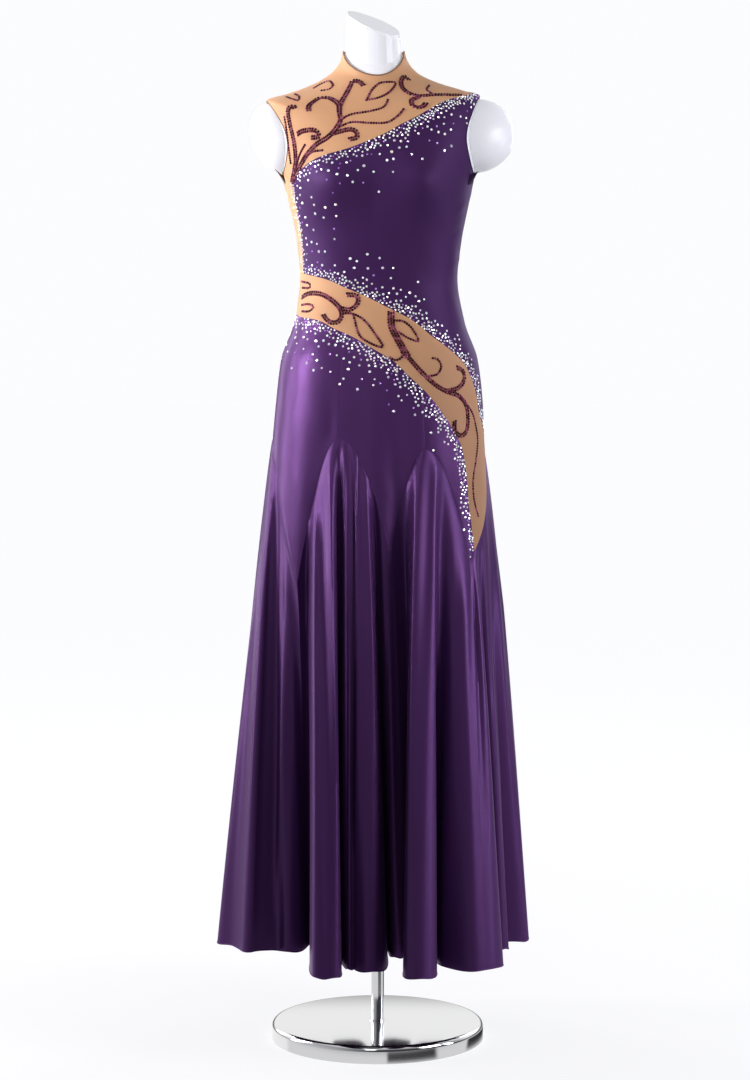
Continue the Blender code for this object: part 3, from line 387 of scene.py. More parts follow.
@dataclass(frozen=True)
class Paper(Finish):
    """The lit white sweep of the studio floor."""

    colour: Colour
    near: Colour
    far: Colour
    reach: float

    def wire(self, graph: Graph) -> None:
        """Adds a faint mottle, and the light that evens the sweep out towards the horizon.

        Args:
            graph: the material's graph.
        """
        where = graph.node("TexCoord", output="Object")
        mottle = graph.noise(where, (1.5, 1.5, 1.5))
        pale = tuple(min(1.0, c * 1.02) for c in self.colour)
        away = graph.node("VectorMath", {"operation": "LENGTH"}, where, output="Value")
        lit = graph.node("ValToRGB", {"stops": ((0.0, self.near), (1.0, self.far))}, away * (1 / self.reach))
        graph.set(
            Base_Color=graph.mix(mottle, self.colour, pale),
            Roughness=1.0,
            Specular_IOR_Level=0.0,
            Emission_Color=lit,
            Emission_Strength=1.0,
        )


SKIRT_SATIN = Satin(
    name="purple_satin",
    slot="satin",
    deep=(0.068, 0.0235, 0.104, 1),
    light=(0.092, 0.034, 0.141, 1),
    gloss=(0.82, 0.56, 1.0, 1),
    roughness=0.36,
    metallic=0.3,
    shine=0.18,
    sheen=0.02,
)
BODICE_SATIN = Satin(
    name="purple_crepe_back",
    slot="satin",
    deep=(0.046, 0.0155, 0.076, 1),
    light=(0.06, 0.0205, 0.096, 1),
    gloss=(0.7, 0.5, 0.95, 1),
    roughness=0.5,
    metallic=0.15,
    shine=0.16,
    sheen=0.02,
)
# A painted-shade copy of the bodice crepe, near black, for the shaded right wing.
SATIN_PAINTED_SHADE = Satin(
    name="purple_crepe_painted_shade",
    slot="satin",
    deep=(0.016, 0.006, 0.024, 1),
    light=(0.022, 0.009, 0.034, 1),
    gloss=(0.7, 0.5, 0.95, 1),
    roughness=0.6,
    metallic=0.0,
    shine=0.1,
    sheen=0.0,
)
ILLUSION_MESH = Net("illusion_mesh", "mesh", (0.69, 0.36, 0.168, 1), (0.77, 0.422, 0.215, 1))
MESH_EDGE = Net("illusion_mesh_edge", "mesh", (0.2, 0.085, 0.035, 1), (0.25, 0.11, 0.05, 1))
# A painted-shade copy of the mesh, near black, for the shaded left wing.
MESH_PAINTED_SHADE = Net("illusion_mesh_painted_shade", "mesh", (0.06, 0.026, 0.016, 1), (0.085, 0.038, 0.022, 1))
# Both lacquers end in their painted glow.
FORM_WHITE = Lacquer("form_white", "form", (0.84, 0.86, 0.9, 1), (0.88, 0.9, 0.93, 1), 0.34, 0.2)
CAP_WHITE = Lacquer("neck_plate_white", "form", (0.74, 0.76, 0.78, 1), (0.78, 0.8, 0.82, 1), 0.45, 0.32)
CHROME = Chrome("chrome", "chrome", (0.9, 0.91, 0.93, 1))
# The crystals carry a painted glow as their last number.
CRYSTAL = Stone("crystal_aurora", "", 0.12, 0.55, 1.0, 0.3)
SEQUIN = Stone("plum_bead", "", 0.34, 0.8, 0.0)
SWEEP = Paper("paper_sweep", "", (0.22, 0.22, 0.22, 1), (0.8, 0.805, 0.82, 1), (0.94, 0.945, 0.96, 1), 3.5)


# ---- mesh helpers


def finished(mesh: bpy.types.Mesh, finish: Finish, sharp_deg: float = 50.0) -> Piece:
    """Makes a piece of a mesh, smooth shaded, with its finish, on the root body and under the mesh's name.

    Args:
        mesh: its mesh, in place.
        finish: its finish.
        sharp_deg: edges that turn more than this stay sharp; 0 keeps every facet flat.

    Returns:
        The new object.
    """
    if sharp_deg:
        mesh.shade_smooth()
        mesh.set_sharp_from_angle(angle=math.radians(sharp_deg))
    piece = bpy.data.objects.new(mesh.name, mesh)
    bpy.context.scene.collection.objects.link(piece)
    return dressed(piece, finish)


def dressed(piece: Piece, finish: Finish) -> Piece:
    """Gives a piece its finish, and lets it ride on the root body.

    Args:
        piece: the piece.
        finish: its finish.

    Returns:
        The same piece.
    """
    piece.data.materials.clear()
    piece.data.materials.append(finish.material())
    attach(piece, "root")
    return piece


def unit(vectors: Points) -> Points:
    """The same directions, each one metre long."""
    return vectors / np.linalg.norm(vectors, axis=1)[:, None]


def banded(bands: int, rings: int, sides: int) -> Faces:
    """Faces that join each ring of points to the next.

    Args:
        bands: how many bands of faces; as many as rings closes them in a loop.
        rings: how many rings.
        sides: how many points a ring has.

    Returns:
        The faces, band by band.
    """
    faces: Faces = []
    for i in range(bands):
        j = (i + 1) % rings
        for k in range(sides):
            m = (k + 1) % sides
            faces.append((i * sides + k, i * sides + m, j * sides + m, j * sides + k))
    return faces


def tube(path: Points, radius: float, sides: int = 8, closed: bool = True) -> tuple[Points, Faces]:
    """A round tube along a path.

    Args:
        path: the points of its centreline.
        radius: its radius.
        sides: how many sides it has.
        closed: whether the path is a loop; otherwise the tube gets two end faces.

    Returns:
        Its points and faces.
    """
    ahead = np.roll(path, -1, axis=0) - np.roll(path, 1, axis=0)
    if not closed:
        ahead[0], ahead[-1] = path[1] - path[0], path[-1] - path[-2]
    ahead = unit(ahead)
    aside = np.cross(ahead, (0.0, 0.0, 1.0))
    aside /= np.maximum(np.linalg.norm(aside, axis=1), 1e-6)[:, None]
    up = np.cross(aside, ahead)
    turns = np.arange(sides) * 2 * math.pi / sides
    ring = aside[:, None] * np.cos(turns)[None, :, None] + up[:, None] * np.sin(turns)[None, :, None]
    points = (path[:, None] + radius * ring).reshape(-1, 3)
    count = len(path)
    faces = banded(count if closed else count - 1, count, sides)
    if not closed:
        faces.append(tuple(range(sides))[::-1])
        faces.append(tuple((count - 1) * sides + k for k in range(sides)))
    return points, faces


def mesh_of(name: str, points: Points, faces: Faces) -> bpy.types.Mesh:
    """A mesh from points and faces, with its faces pointing outwards.

    Args:
        name: the mesh's name.
        points: its points.
        faces: its faces, which already point outwards.

    Returns:
        The new mesh.
    """
    mesh = bpy.data.meshes.new(name)
    mesh.from_pydata(points.tolist(), [], faces)
    mesh.update()
    return mesh


def facing_out(mesh: bpy.types.Mesh) -> bpy.types.Mesh:
    """Turns a closed mesh's faces outwards.

    Args:
        mesh: a closed mesh.

    Returns:
        The same mesh.
    """
    bm = bmesh.new()
    bm.from_mesh(mesh)
    bmesh.ops.recalc_face_normals(bm, faces=bm.faces)
    bm.to_mesh(mesh)
    bm.free()
    return mesh


# ---- the body surface


def smooth_table(stations: Points, values: Points, at: Points) -> Points:
    """Values between the rows of a table, on cubics whose slopes never overshoot a row.

    Args:
        stations: where the table's rows lie.
        values: the rows.
        at: where values are wanted.

    Returns:
        One row for each place wanted.
    """
    step = np.diff(stations)
    rise = np.diff(values, axis=0) / step[:, None]
    slope = np.zeros_like(values)
    ahead, behind = rise[1:], rise[:-1]
    weight_ahead = (2 * step[:-1] + step[1:])[:, None]
    weight_behind = (step[:-1] + 2 * step[1:])[:, None]
    same_way = ahead * behind > 0
    safe_ahead, safe_behind = np.where(same_way, ahead, 1.0), np.where(same_way, behind, 1.0)
    mean = (weight_ahead + weight_behind) / (weight_ahead / safe_ahead + weight_behind / safe_behind)
    slope[1:-1] = np.where(same_way, mean, 0.0)
    slope[0], slope[-1] = rise[0], rise[-1]
    place = np.clip(np.searchsorted(stations, at, side="right") - 1, 0, len(stations) - 2)
    t = ((at - stations[place]) / step[place])[:, None]
    width = step[place][:, None]
    return (
        values[place] * (1 + 2 * t) * (1 - t) ** 2
        + slope[place] * width * t * (1 - t) ** 2
        + values[place + 1] * t**2 * (3 - 2 * t)
        - slope[place + 1] * width * t**2 * (1 - t)
    )


def spline_through(points: Points, samples: int) -> Points:
    """Points at even parameter steps on a Catmull-Rom spline through an open row of points.

    Args:
        points: the points passed.
        samples: how many to return.

    Returns:
        The samples.
    """
    points = np.asarray(points, float)
    ends = np.vstack([2 * points[0] - points[1], points, 2 * points[-1] - points[-2]])
    at = np.linspace(0, len(points) - 1, samples)
    place = np.clip(at.astype(int), 0, len(points) - 2)
    t = (at - place)[:, None]
    a, b, c, d = (ends[place + k] for k in range(4))
    return 0.5 * (2 * b + (c - a) * t + (2 * a - 5 * b + 4 * c - d) * t**2 + (3 * b - a - 3 * c + d) * t**3)


class Section(NamedTuple):
    """One closed section of the dressed body: reaches from the axis, and heights at side, front and back."""

    path: float
    left: float
    right: float
    front: float
    back: float
    side_z: float
    front_z: float
    back_z: float
    lift: float


def level(height: float, left: float, right: float, front: float, back: float) -> Section:
    """A section that lies in a horizontal plane."""
    return Section(height, left, right, front, back, height, height, height, 0.0)


class Relief(NamedTuple):
    """A soft upright ridge (or valley, if its rise is negative) that the hip panels form above the folds."""

    angle: float
    width_deg: float
    rise: float


class Crease(NamedTuple):
    """A soft crease or ridge in the cloth: its middle, its half length and half width, its slant and rise."""

    angle: float
    path: float
    length: float
    width: float
    slant_deg: float
    rise: float


@dataclass(frozen=True)
class BodySurface:
    """The outside of the cloth from the hips to the collar."""

    sections: tuple[Section, ...]
    relief: tuple[Relief, ...]
    creases: tuple[Crease, ...]
    boxiness: float = 0.03
    relief_top: float = 1.04
    relief_foot: float = 0.78
    bust_across: float = 0.07
    bust_path: float = 1.372
    bust_spread: float = 0.04
    bust_rise: float = 0.015
    bow_paths: Pair = (1.56, 1.64)
    bows: Pair = (2.0, 1.15)
    unevenness: float = 0.0003

    def hip_relief(self, angles: Points, paths: Points) -> Points:
        """How far the ridges and valleys of the hip panels stand out, the same in front and at the back.

        Args:
            angles: degrees round the dress.
            paths: paths up the dress.

        Returns:
            Heights above the plain surface.
        """
        share = np.clip((self.relief_top - paths) / (self.relief_top - self.relief_foot), 0, 1)
        rise = np.zeros(len(angles))
        for row in self.relief:
            for centre in (row.angle, CENTRE_BACK - row.angle):
                off = (angles - centre + 180) % 360 - 180
                rise += row.rise * np.exp(-((off / row.width_deg) ** 2))
        return rise * share**2 * (3 - 2 * share)

    def points(self, angles: Points, paths: Points) -> Points:
        """Points of the surface.

        Args:
            angles: degrees round the dress.
            paths: paths up the dress.

        Returns:
            The points in space.
        """
        stations = np.array([row.path for row in self.sections])
        rows = smooth_table(stations, np.array([row[1:] for row in self.sections]), paths)
        rows[:, :4] += self.hip_relief(angles, paths)[:, None]
        left, right, front, back, side_z, front_z, back_z, lift = rows.T
        turn = np.radians(angles)
        sine, cosine = np.sin(turn), np.cos(turn)
        square = 1 + self.boxiness * np.sin(2 * turn) ** 2
        x = np.where(sine > 0, right, left) * sine * square
        y = -np.where(cosine > 0, front, back) * cosine * square
        end_z = np.where(cosine > 0, front_z, back_z)
        side_z = side_z + np.where(sine > 0, lift, 0.0)
        cup = np.zeros(len(x))
        for side in (-1, 1):
            off = np.hypot(x - side * self.bust_across, paths - self.bust_path) / self.bust_spread
            cup += np.exp(-(off**2))
        y -= np.where(cosine > 0, self.bust_rise * cup, 0.0)
        share = np.abs(cosine) ** np.interp(paths, self.bow_paths, self.bows)
        return np.column_stack([x, y, side_z * (1 - share) + end_z * share])

    def frame(self, angles: Points, paths: Points) -> tuple[Points, Points, Points]:
        """Which way the surface faces and how far its angles and paths spread there.

        Args:
            angles: degrees round the dress.
            paths: paths up the dress.

        Returns:
            Outward normals, metres per degree of angle, and metres per metre of path.
        """
        turn, rise = SLOPE_STEP
        round_way = (self.points(angles + turn, paths) - self.points(angles - turn, paths)) / (2 * turn)
        up_way = (self.points(angles, paths + rise) - self.points(angles, paths - rise)) / (2 * rise)
        normals = unit(np.cross(round_way, up_way))
        return normals, np.linalg.norm(round_way, axis=1), np.linalg.norm(up_way, axis=1)

    def drape(self, angles: Points, paths: Points) -> Points:
        """How far the cloth's own creases stand out from the surface.

        Args:
            angles: degrees round the dress.
            paths: paths up the dress.

        Returns:
            Heights above the surface.
        """
        rise = np.zeros(len(angles))
        for row in self.creases:
            off = (angles - row.angle + 180) % 360 - 180
            u, v = off * METRES_PER_DEGREE, paths - row.path
            slant = math.radians(row.slant_deg)
            along = u * math.cos(slant) + v * math.sin(slant)
            across = v * math.cos(slant) - u * math.sin(slant)
            rise += row.rise * np.exp(-((along / row.length) ** 2) - (across / row.width) ** 2)
        waves = np.sin(angles * 0.19 + paths * 31) * np.sin(paths * 47 + angles * 0.07 + 1.3)
        return rise + self.unevenness * waves

    def front_line(self, line: tuple[Pair, ...]) -> Points:
        """The (angle, path) of each (distance across, height) of a style line as seen from the front.

        Args:
            line: distances across and heights.

        Returns:
            Angles and paths.
        """
        target = np.array(line)
        angles = np.degrees(np.arcsin(target[:, 0] / max(max(row.left, row.right) for row in self.sections)))
        paths = target[:, 1].copy()
        for _ in range(SOLVE_STEPS):
            off = target - self.points(angles, paths)[:, ::2]
            facing = np.maximum(np.cos(np.radians(angles)), SOLVE_FACING)
            step = SOLVE_SHARE * off[:, 0] / (self.frame(angles, paths)[1] * facing)
            angles = np.clip(angles + step, -SOLVE_LIMIT_DEG, SOLVE_LIMIT_DEG)
            paths = paths + SOLVE_SHARE * off[:, 1]
        return np.column_stack([angles, paths])


METRES_PER_DEGREE = 0.0025
SLOPE_STEP = (0.25, 0.0005)  # in angle and path, for slopes
SOLVE_STEPS, SOLVE_SHARE, SOLVE_FACING, SOLVE_LIMIT_DEG = 60, 0.6, 0.08, 89.5

BODY = BodySurface(
    sections=(
        level(0.74, 0.183, 0.183, 0.126, 0.13),
        level(0.875, 0.175, 0.176, 0.117, 0.124),
        level(0.972, 0.168, 0.171, 0.111, 0.124),
        level(1.035, 0.162, 0.168, 0.108, 0.122),
        level(1.1, 0.154, 0.16, 0.103, 0.111),
        level(1.16, 0.133, 0.139, 0.094, 0.093),
        level(1.23, 0.1235, 0.1275, 0.087, 0.083),
        level(1.29, 0.128, 0.134, 0.092, 0.087),
        level(1.337, 0.138, 0.143, 0.099, 0.092),
        level(1.388, 0.151, 0.154, 0.107, 0.098),
        Section(1.43, 0.163, 0.163, 0.105, 0.101, 1.43, 1.424, 1.43, 0.002),
        Section(1.48, 0.172, 0.164, 0.098, 0.099, 1.481, 1.456, 1.466, 0.006),
        Section(1.51, 0.176, 0.162, 0.091, 0.094, 1.508, 1.475, 1.487, 0.008),
        Section(1.55, 0.14, 0.134, 0.083, 0.086, 1.521, 1.493, 1.506, 0.005),
        Section(1.595, 0.098, 0.092, 0.073, 0.074, 1.537, 1.511, 1.524, 0.002),
        Section(1.63, 0.07, 0.06, 0.064, 0.061, 1.556, 1.527, 1.541, 0.0),
        Section(1.655, 0.0585, 0.047, 0.0585, 0.0535, 1.573, 1.537, 1.561, 0.0),
        Section(1.675, 0.0545, 0.0425, 0.0575, 0.0515, 1.587, 1.545, 1.584, 0.0),
    ),
    relief=(
        Relief(-33, 6.0, -0.0045),
        Relief(-3, 7.0, 0.004),
        Relief(12, 6.0, -0.011),
        Relief(26, 6.0, 0.004),
        Relief(41, 5.0, -0.004),
    ),
    creases=(
        Crease(-72, 1.33, 0.04, 0.006, -28, 0.0012),
        Crease(70, 1.345, 0.045, 0.007, 24, 0.0013),
        Crease(62, 1.3, 0.05, 0.007, 20, -0.0011),
        Crease(74, 1.255, 0.04, 0.006, 10, 0.0012),
        Crease(66, 1.225, 0.045, 0.006, 6, -0.001),
        Crease(-66, 1.215, 0.035, 0.005, -8, -0.0008),
        Crease(58, 1.42, 0.04, 0.008, -50, -0.0014),
        Crease(-50, 1.425, 0.035, 0.007, 48, -0.001),
        Crease(-3, 1.35, 0.012, 0.045, 0, -0.0016),
        Crease(112, 1.3, 0.05, 0.008, -16, 0.0014),
        Crease(128, 1.24, 0.055, 0.008, -6, -0.0014),
        Crease(-112, 1.25, 0.05, 0.008, 12, 0.0013),
        Crease(-130, 1.215, 0.05, 0.007, 6, -0.0012),
        Crease(180, 1.255, 0.06, 0.008, 0, -0.001),
        Crease(-25, 0.975, 0.06, 0.011, 90, -0.003),
        Crease(-4, 0.96, 0.06, 0.012, 90, 0.0025),
        Crease(9, 0.96, 0.07, 0.012, 90, -0.0022),
        Crease(148, 1.04, 0.012, 0.06, 0, -0.0014),
        Crease(205, 1.03, 0.012, 0.06, 0, 0.0014),
    ),
)

# Style lines as seen from the front: (distance across, height).
YOKE_LINE = (
    (-0.11, 1.4058), (-0.0879, 1.4175), (-0.0459, 1.4294), (-0.0133, 1.4418), (0.0146, 1.4543),
    (0.0364, 1.4669), (0.0613, 1.4797), (0.0833, 1.4927), (0.107, 1.5062), (0.1456, 1.518),
)
BAND_TOP_LINE = (
    (-0.1175, 1.2365), (-0.1016, 1.2323), (-0.0777, 1.2258), (-0.0494, 1.2132), (-0.0196, 1.2007),
    (0.0054, 1.1883), (0.0539, 1.1633), (0.0853, 1.1383), (0.1186, 1.1131), (0.1411, 1.0877),
    (0.1559, 1.0495), (0.1627, 1.0112),
)
BAND_FOOT_LINE = (
    (-0.124, 1.169), (-0.0951, 1.1633), (-0.0698, 1.1508), (-0.0415, 1.1384), (-0.0196, 1.126),
    (0.0225, 1.1011), (0.0491, 1.0762), (0.0758, 1.0511), (0.0963, 1.0259), (0.1137, 1.0005),
    (0.1282, 0.9751), (0.1362, 0.9497), (0.1411, 0.9117), (0.1443, 0.8738), (0.1492, 0.8357),
    (0.1548, 0.79),
)
BAND_SIDE_TOP, BAND_SIDE_FOOT, BAND_MEETING = 1.24, 1.176, 0.978
SIDE_MESH_DEG, SIDE_MESH_TOP, SIDE_MESH_CORNER = (-63.0, -71.0), 1.398, 1.378
YOKE_SHOULDER = 1.534
ARMHOLE_FRONT_DEG, ARMHOLE_BACK_DEG = 34.0, 17.0
ARMHOLE_BOTTOM, ARMHOLE_TOP = 1.388, 1.512
COLLAR_TOP = 1.675


class Arch(NamedTuple):
    """A peak of the arched seams, the hip panels' point that follows it, and the powers of its two legs."""

    before: float
    peak: float
    peak_z: float
    after: float
    point: float
    point_z: float


class Fold(NamedTuple):
    """One fold of the hem: its outward lobe, the valley that follows it, and how soon the lobe opens."""

    top: float
    angle: float
    radius: float
    width: float
    facing: float
    valley_top: float
    valley_angle: float
    valley_radius: float
    fall: float = 0.92


class Pleat(NamedTuple):
    """A fine ridge (or dent) down the skirt: its bend number, width in bends, rise, shares down and drift."""

    at: float
    width: float
    rise: float
    start: float
    end: float
    drift: float = 0.0


def polar(angle: float, radius: float) -> Points:
    """A point in plan."""
    return radius * np.array([math.sin(math.radians(angle)), -math.cos(math.radians(angle))])


class SkirtSurface:
    """The flared skirt, ruled from the arched seams to one folded hem line."""

    hem_height = 0.159
    bends_per_fold = 4
    lobe_roundness = 0.32
    lobe_spread = 0.4
    valley_fall = 0.72
    bend_samples = 6000
    folds_before = 3  # how many folds before the first the bends are looked up from
    pleat_starts, pleat_ends = 0.12, 0.15  # shares of the way down in which a pleat grows and fades
    unevenness = 0.0011

    def __init__(self, arches: tuple[Arch, ...], folds: tuple[Fold, ...], pleats: tuple[Pleat, ...]) -> None:
        """Works out the hem's bends.

        Args:
            arches: the arched seams, once round.
            folds: the hem's folds, once round.
            pleats: the finer ridges and dents.
        """
        self.arches, self.folds, self.pleats = arches, folds, pleats
        self.falls = np.array([fold.fall for fold in folds])
        bends, tops = [], []
        for index, fold in enumerate(folds):
            last_top = folds[index - 1].valley_top - (360 if index == 0 else 0)
            crown, outward = polar(fold.angle, fold.radius), polar(fold.facing, 1.0)
            half = np.array([-outward[1], outward[0]]) * fold.width / 2
            behind = outward * self.lobe_roundness * fold.width
            bends += [crown - half - behind, crown, crown + half - behind]
            bends.append(polar(fold.valley_angle, fold.valley_radius))
            tops += [fold.top + self.lobe_spread * (last_top - fold.top), fold.top]
            tops += [fold.top + self.lobe_spread * (fold.valley_top - fold.top), fold.valley_top]
        self.bends, self.tops = np.array(bends), np.array(tops, float)

    def seam_height(self, angle: float) -> float:
        """Height of the arched seams at any angle.

        Args:
            angle: degrees round the dress.

        Returns:
            The height.
        """
        turned = (angle - LEFT_SIDE) % 360 + LEFT_SIDE
        first_again = self.arches[0]._replace(peak=LEFT_SIDE + 360)
        for row, after in zip(self.arches, (*self.arches[1:], first_again)):
            if turned <= after.peak:
                near, power = (row, row.after) if turned < row.point else (after, after.before)
                share = min(abs(turned - near.peak) / abs(row.point - near.peak), 1.0)
                return near.peak_z - (near.peak_z - row.point_z) * share**power
        raise ValueError(f"no arch at {angle}")

    def hem_point(self, at: Points) -> Points:
        """Plan points of the hem line at these bend numbers, on a closed spline through the bends.

        Args:
            at: bend numbers.

        Returns:
            Points in plan.
        """
        count = len(self.bends)
        place = np.floor(at).astype(int)
        a, b, c, d = (self.bends[(place + k) % count] for k in (-1, 0, 1, 2))
        ways = (b - a, c - b, d - c)
        step_1, step_2, step_3 = (np.sqrt(np.linalg.norm(way, axis=1))[:, None] for way in ways)
        slope_b = step_2 * ((b - a) / step_1 - (c - a) / (step_1 + step_2) + (c - b) / step_2)
        slope_c = step_2 * ((c - b) / step_2 - (d - b) / (step_2 + step_3) + (d - c) / step_3)
        t = (at - place)[:, None]
        return (
            b * (1 + 2 * t) * (1 - t) ** 2
            + slope_b * t * (1 - t) ** 2
            + c * t**2 * (3 - 2 * t)
            - slope_c * t**2 * (1 - t)
        )

    def top_angle(self, at: Points) -> Points:
        """The angle at which each bend number leaves the hip panels.

        Args:
            at: bend numbers.

        Returns:
            Degrees round the dress.
        """
        count = len(self.tops)
        stations = np.arange(-count, 2 * count, dtype=float)
        angles = np.concatenate([self.tops - 360, self.tops, self.tops + 360])
        return smooth_table(stations, angles[:, None], at)[:, 0]

    def fall_power(self, at: Points) -> Points:
        """The power of its share of the way down by which each bend number nears the hem line.

        Args:
            at: bend numbers.

        Returns:
            The powers.
        """
        crowns = self.falls[np.floor((at + 1) / self.bends_per_fold).astype(int) % len(self.folds)]
        phase = (at % self.bends_per_fold - 1) * 2 * math.pi / self.bends_per_fold
        return self.valley_fall + (crowns - self.valley_fall) * (1 + np.cos(phase)) / 2

    def points(self, at: Points, down: Points) -> Points:
        """Points at these bend numbers and these shares of the way from seam to hem.

        Args:
            at: bend numbers.
            down: shares of the way from seam to hem.

        Returns:
            The points in space.
        """
        angles = self.top_angle(at)
        heights = np.array([self.seam_height(angle) for angle in angles])
        top = BODY.points(angles, heights)
        opened = (down ** self.fall_power(at))[:, None]
        plan = top[:, :2] * (1 - opened) + self.hem_point(at) * opened
        return np.column_stack([plan, heights + (self.hem_height - heights) * down])

    def normals(self, at: Points, down: Points) -> Points:
        """Outward normals.

        Args:
            at: bend numbers.
            down: shares of the way from seam to hem.

        Returns:
            Unit normals.
        """
        step = 0.02
        low, high = np.clip(down - step, 0, 1), np.clip(down + step, 0, 1)
        round_way = self.points(at + step, down) - self.points(at - step, down)
        down_way = self.points(at, high) - self.points(at, low)
        return unit(np.cross(down_way, round_way))

    def bend_at(self, angle: float) -> float:
        """The bend number that leaves the hip panels at an angle.

        Args:
            angle: degrees round the dress.

        Returns:
            The bend number.
        """
        first, last = -self.folds_before * self.bends_per_fold, len(self.bends) + self.bends_per_fold
        stations = np.linspace(first, last, self.bend_samples)
        return float(np.interp(angle, self.top_angle(stations), stations))

    def relief(self, at: Points, down: Points) -> Points:
        """How far the fine pleats and the soft unevenness of the cloth stand out.

        Args:
            at: bend numbers.
            down: shares of the way from seam to hem.

        Returns:
            Heights above the ruled surface.
        """
        count = len(self.bends)
        rise = np.zeros(len(at))
        for row in self.pleats:
            off = (at - row.at - row.drift * down + count / 2) % count - count / 2
            grows = np.clip((down - row.start) / self.pleat_starts, 0, 1)
            fades = np.clip((row.end - down) / self.pleat_ends, 0, 1)
            rise += row.rise * np.exp(-((off / row.width) ** 2)) * (grows * fades)
        soft = np.sin(at * 2.9 + 1.1 + 1.7 * down) * np.sin(at * 1.3 + 4.0 * down)
        return rise + self.unevenness * soft * np.clip(down * 4, 0, 1)


SKIRT = SkirtSurface(
    arches=(
        Arch(1.9, -90.0, 0.976, 1.9, -42.6, 0.75),
        Arch(1.9, -21.0, 0.978, 1.9, 8.0, 0.79),
        Arch(1.9, 25.0, 0.961, 1.9, 51.5, 0.786),
        Arch(0.7, 101.0, 0.976, 1.9, 134.0, 0.782),
        Arch(1.9, 160.0, 0.974, 1.9, 188.0, 0.776),
        Arch(1.9, 216.0, 0.974, 1.9, 241.0, 0.754),
    ),
    folds=(
        Fold(-89, -86, 0.259, 0.06, -78, -72, -67, 0.221),
        Fold(-60, -59.5, 0.168, 0.042, -14, -39.5, -74, 0.112),
        Fold(-31, -16.7, 0.277, 0.042, -6, -20.5, -26, 0.145),
        Fold(-16, -12, 0.2075, 0.014, -15, -11.5, -10, 0.19),
        Fold(-10, -3.4, 0.2225, 0.046, -3, -2, 11, 0.08),
        Fold(4, 16, 0.13, 0.024, 8, 13, 33, 0.107),
        Fold(27, 14.8, 0.277, 0.052, 12, 37, 33, 0.161),
        Fold(50, 35.4, 0.2625, 0.094, 5, 62, 72, 0.178),
        Fold(70, 73.5, 0.218, 0.022, 55, 78, 85, 0.197),
        Fold(97, 91, 0.246, 0.034, 80, 105, 100, 0.155, 0.77),
        Fold(115, 112, 0.25, 0.058, 104, 124, 123, 0.135),
        Fold(136, 135, 0.262, 0.054, 136, 146, 145, 0.12),
        Fold(155, 154, 0.252, 0.044, 158, 163, 163, 0.138),
        Fold(173, 173, 0.265, 0.06, 172, 184, 184, 0.11),
        Fold(194, 194, 0.258, 0.048, 196, 203, 203, 0.132),
        Fold(213, 214, 0.264, 0.058, 212, 224, 226, 0.118),
        Fold(237, 237, 0.256, 0.054, 240, 248, 247, 0.142),
        Fold(258, 257, 0.258, 0.046, 262, 265, 266, 0.205),
    ),
    pleats=(
        Pleat(2.7, 0.16, 0.0022, 0.15, 1.3),
        Pleat(3.3, 0.25, -0.0035, 0.1, 1.3),
        Pleat(6.2, 0.45, 0.004, 0.05, 1.2, -2.4),
        Pleat(8.2, 0.22, 0.0016, 0.05, 1.3),
        Pleat(9.2, 0.45, -0.0034, 0.04, 1.3),
        Pleat(13.0, 0.3, 0.0016, 0.1, 1.3),
        Pleat(14.6, 0.8, -0.006, 0.02, 0.8),
        Pleat(26.7, 0.8, -0.005, 0.03, 1.3),
        Pleat(28.6, 0.4, 0.003, 0.05, 1.2, 0.5),
        Pleat(29.7, 0.16, -0.0065, 0.05, 0.75, -0.5),
        Pleat(30.5, 0.22, 0.0024, 0.25, 1.3),
        Pleat(37.5, 0.22, 0.0025, 0.2, 1.3),
        Pleat(41.7, 0.3, -0.0025, 0.15, 1.3),
        Pleat(46.2, 0.25, 0.0028, 0.3, 1.3),
        Pleat(53.5, 0.3, -0.0028, 0.1, 1.3),
        Pleat(58.4, 0.25, 0.0026, 0.2, 1.3),
        Pleat(65.6, 0.28, -0.0026, 0.2, 1.3),
    ),
)


# ---- style lines


def straight(start: Pair, end: Pair, samples: int) -> Points:
    """A straight run in angle and path."""
    return np.linspace(start, end, samples)


def mirrored(line: Points) -> Points:
    """The back twin of a front line."""
    return np.column_stack([CENTRE_BACK - line[:, 0], line[:, 1]])


def cut_at(line: Points, angle: float) -> float:
    """The path at which a line that runs one way round crosses an angle."""
    order = np.argsort(line[:, 0])
    return float(np.interp(angle, line[order, 0], line[order, 1]))


def between(line: Points, start: float, end: float) -> Points:
    """The stretch of a line from one angle to another, with both ends on it.

    Args:
        line: the line.
        start: its first angle.
        end: its last angle.

    Returns:
        The stretch, from start to end.
    """
    line = line[np.argsort(line[:, 0])]
    low, high = min(start, end), max(start, end)
    passed = line[(line[:, 0] > low + MERGE_DEG) & (line[:, 0] < high - MERGE_DEG)]
    run = np.vstack([(low, cut_at(line, low)), passed, (high, cut_at(line, high))])
    return run if start < end else run[::-1]


def armhole_edge(side: float, front: bool, foot: float, top: float, samples: int) -> Points:
    """The front or back edge of the armhole at a side, from one path to another.

    Args:
        side: the angle of the side.
        front: whether it is the front edge.
        foot: the lowest path.
        top: the highest path.
        samples: how many points to return.

    Returns:
        Angles and paths, from foot to top.
    """
    height = ARMHOLE_TOP - ARMHOLE_BOTTOM
    low, high = (math.acos(max(-1.0, 1 - 2 * (path - ARMHOLE_BOTTOM) / height)) for path in (foot, top))
    turn = np.linspace(low, high, samples)
    reach = ARMHOLE_FRONT_DEG if front else ARMHOLE_BACK_DEG
    way = -math.copysign(reach, side) * (1 if front else -1)
    return np.column_stack([side + way * np.sin(turn), ARMHOLE_BOTTOM + height * (1 - np.cos(turn)) / 2])


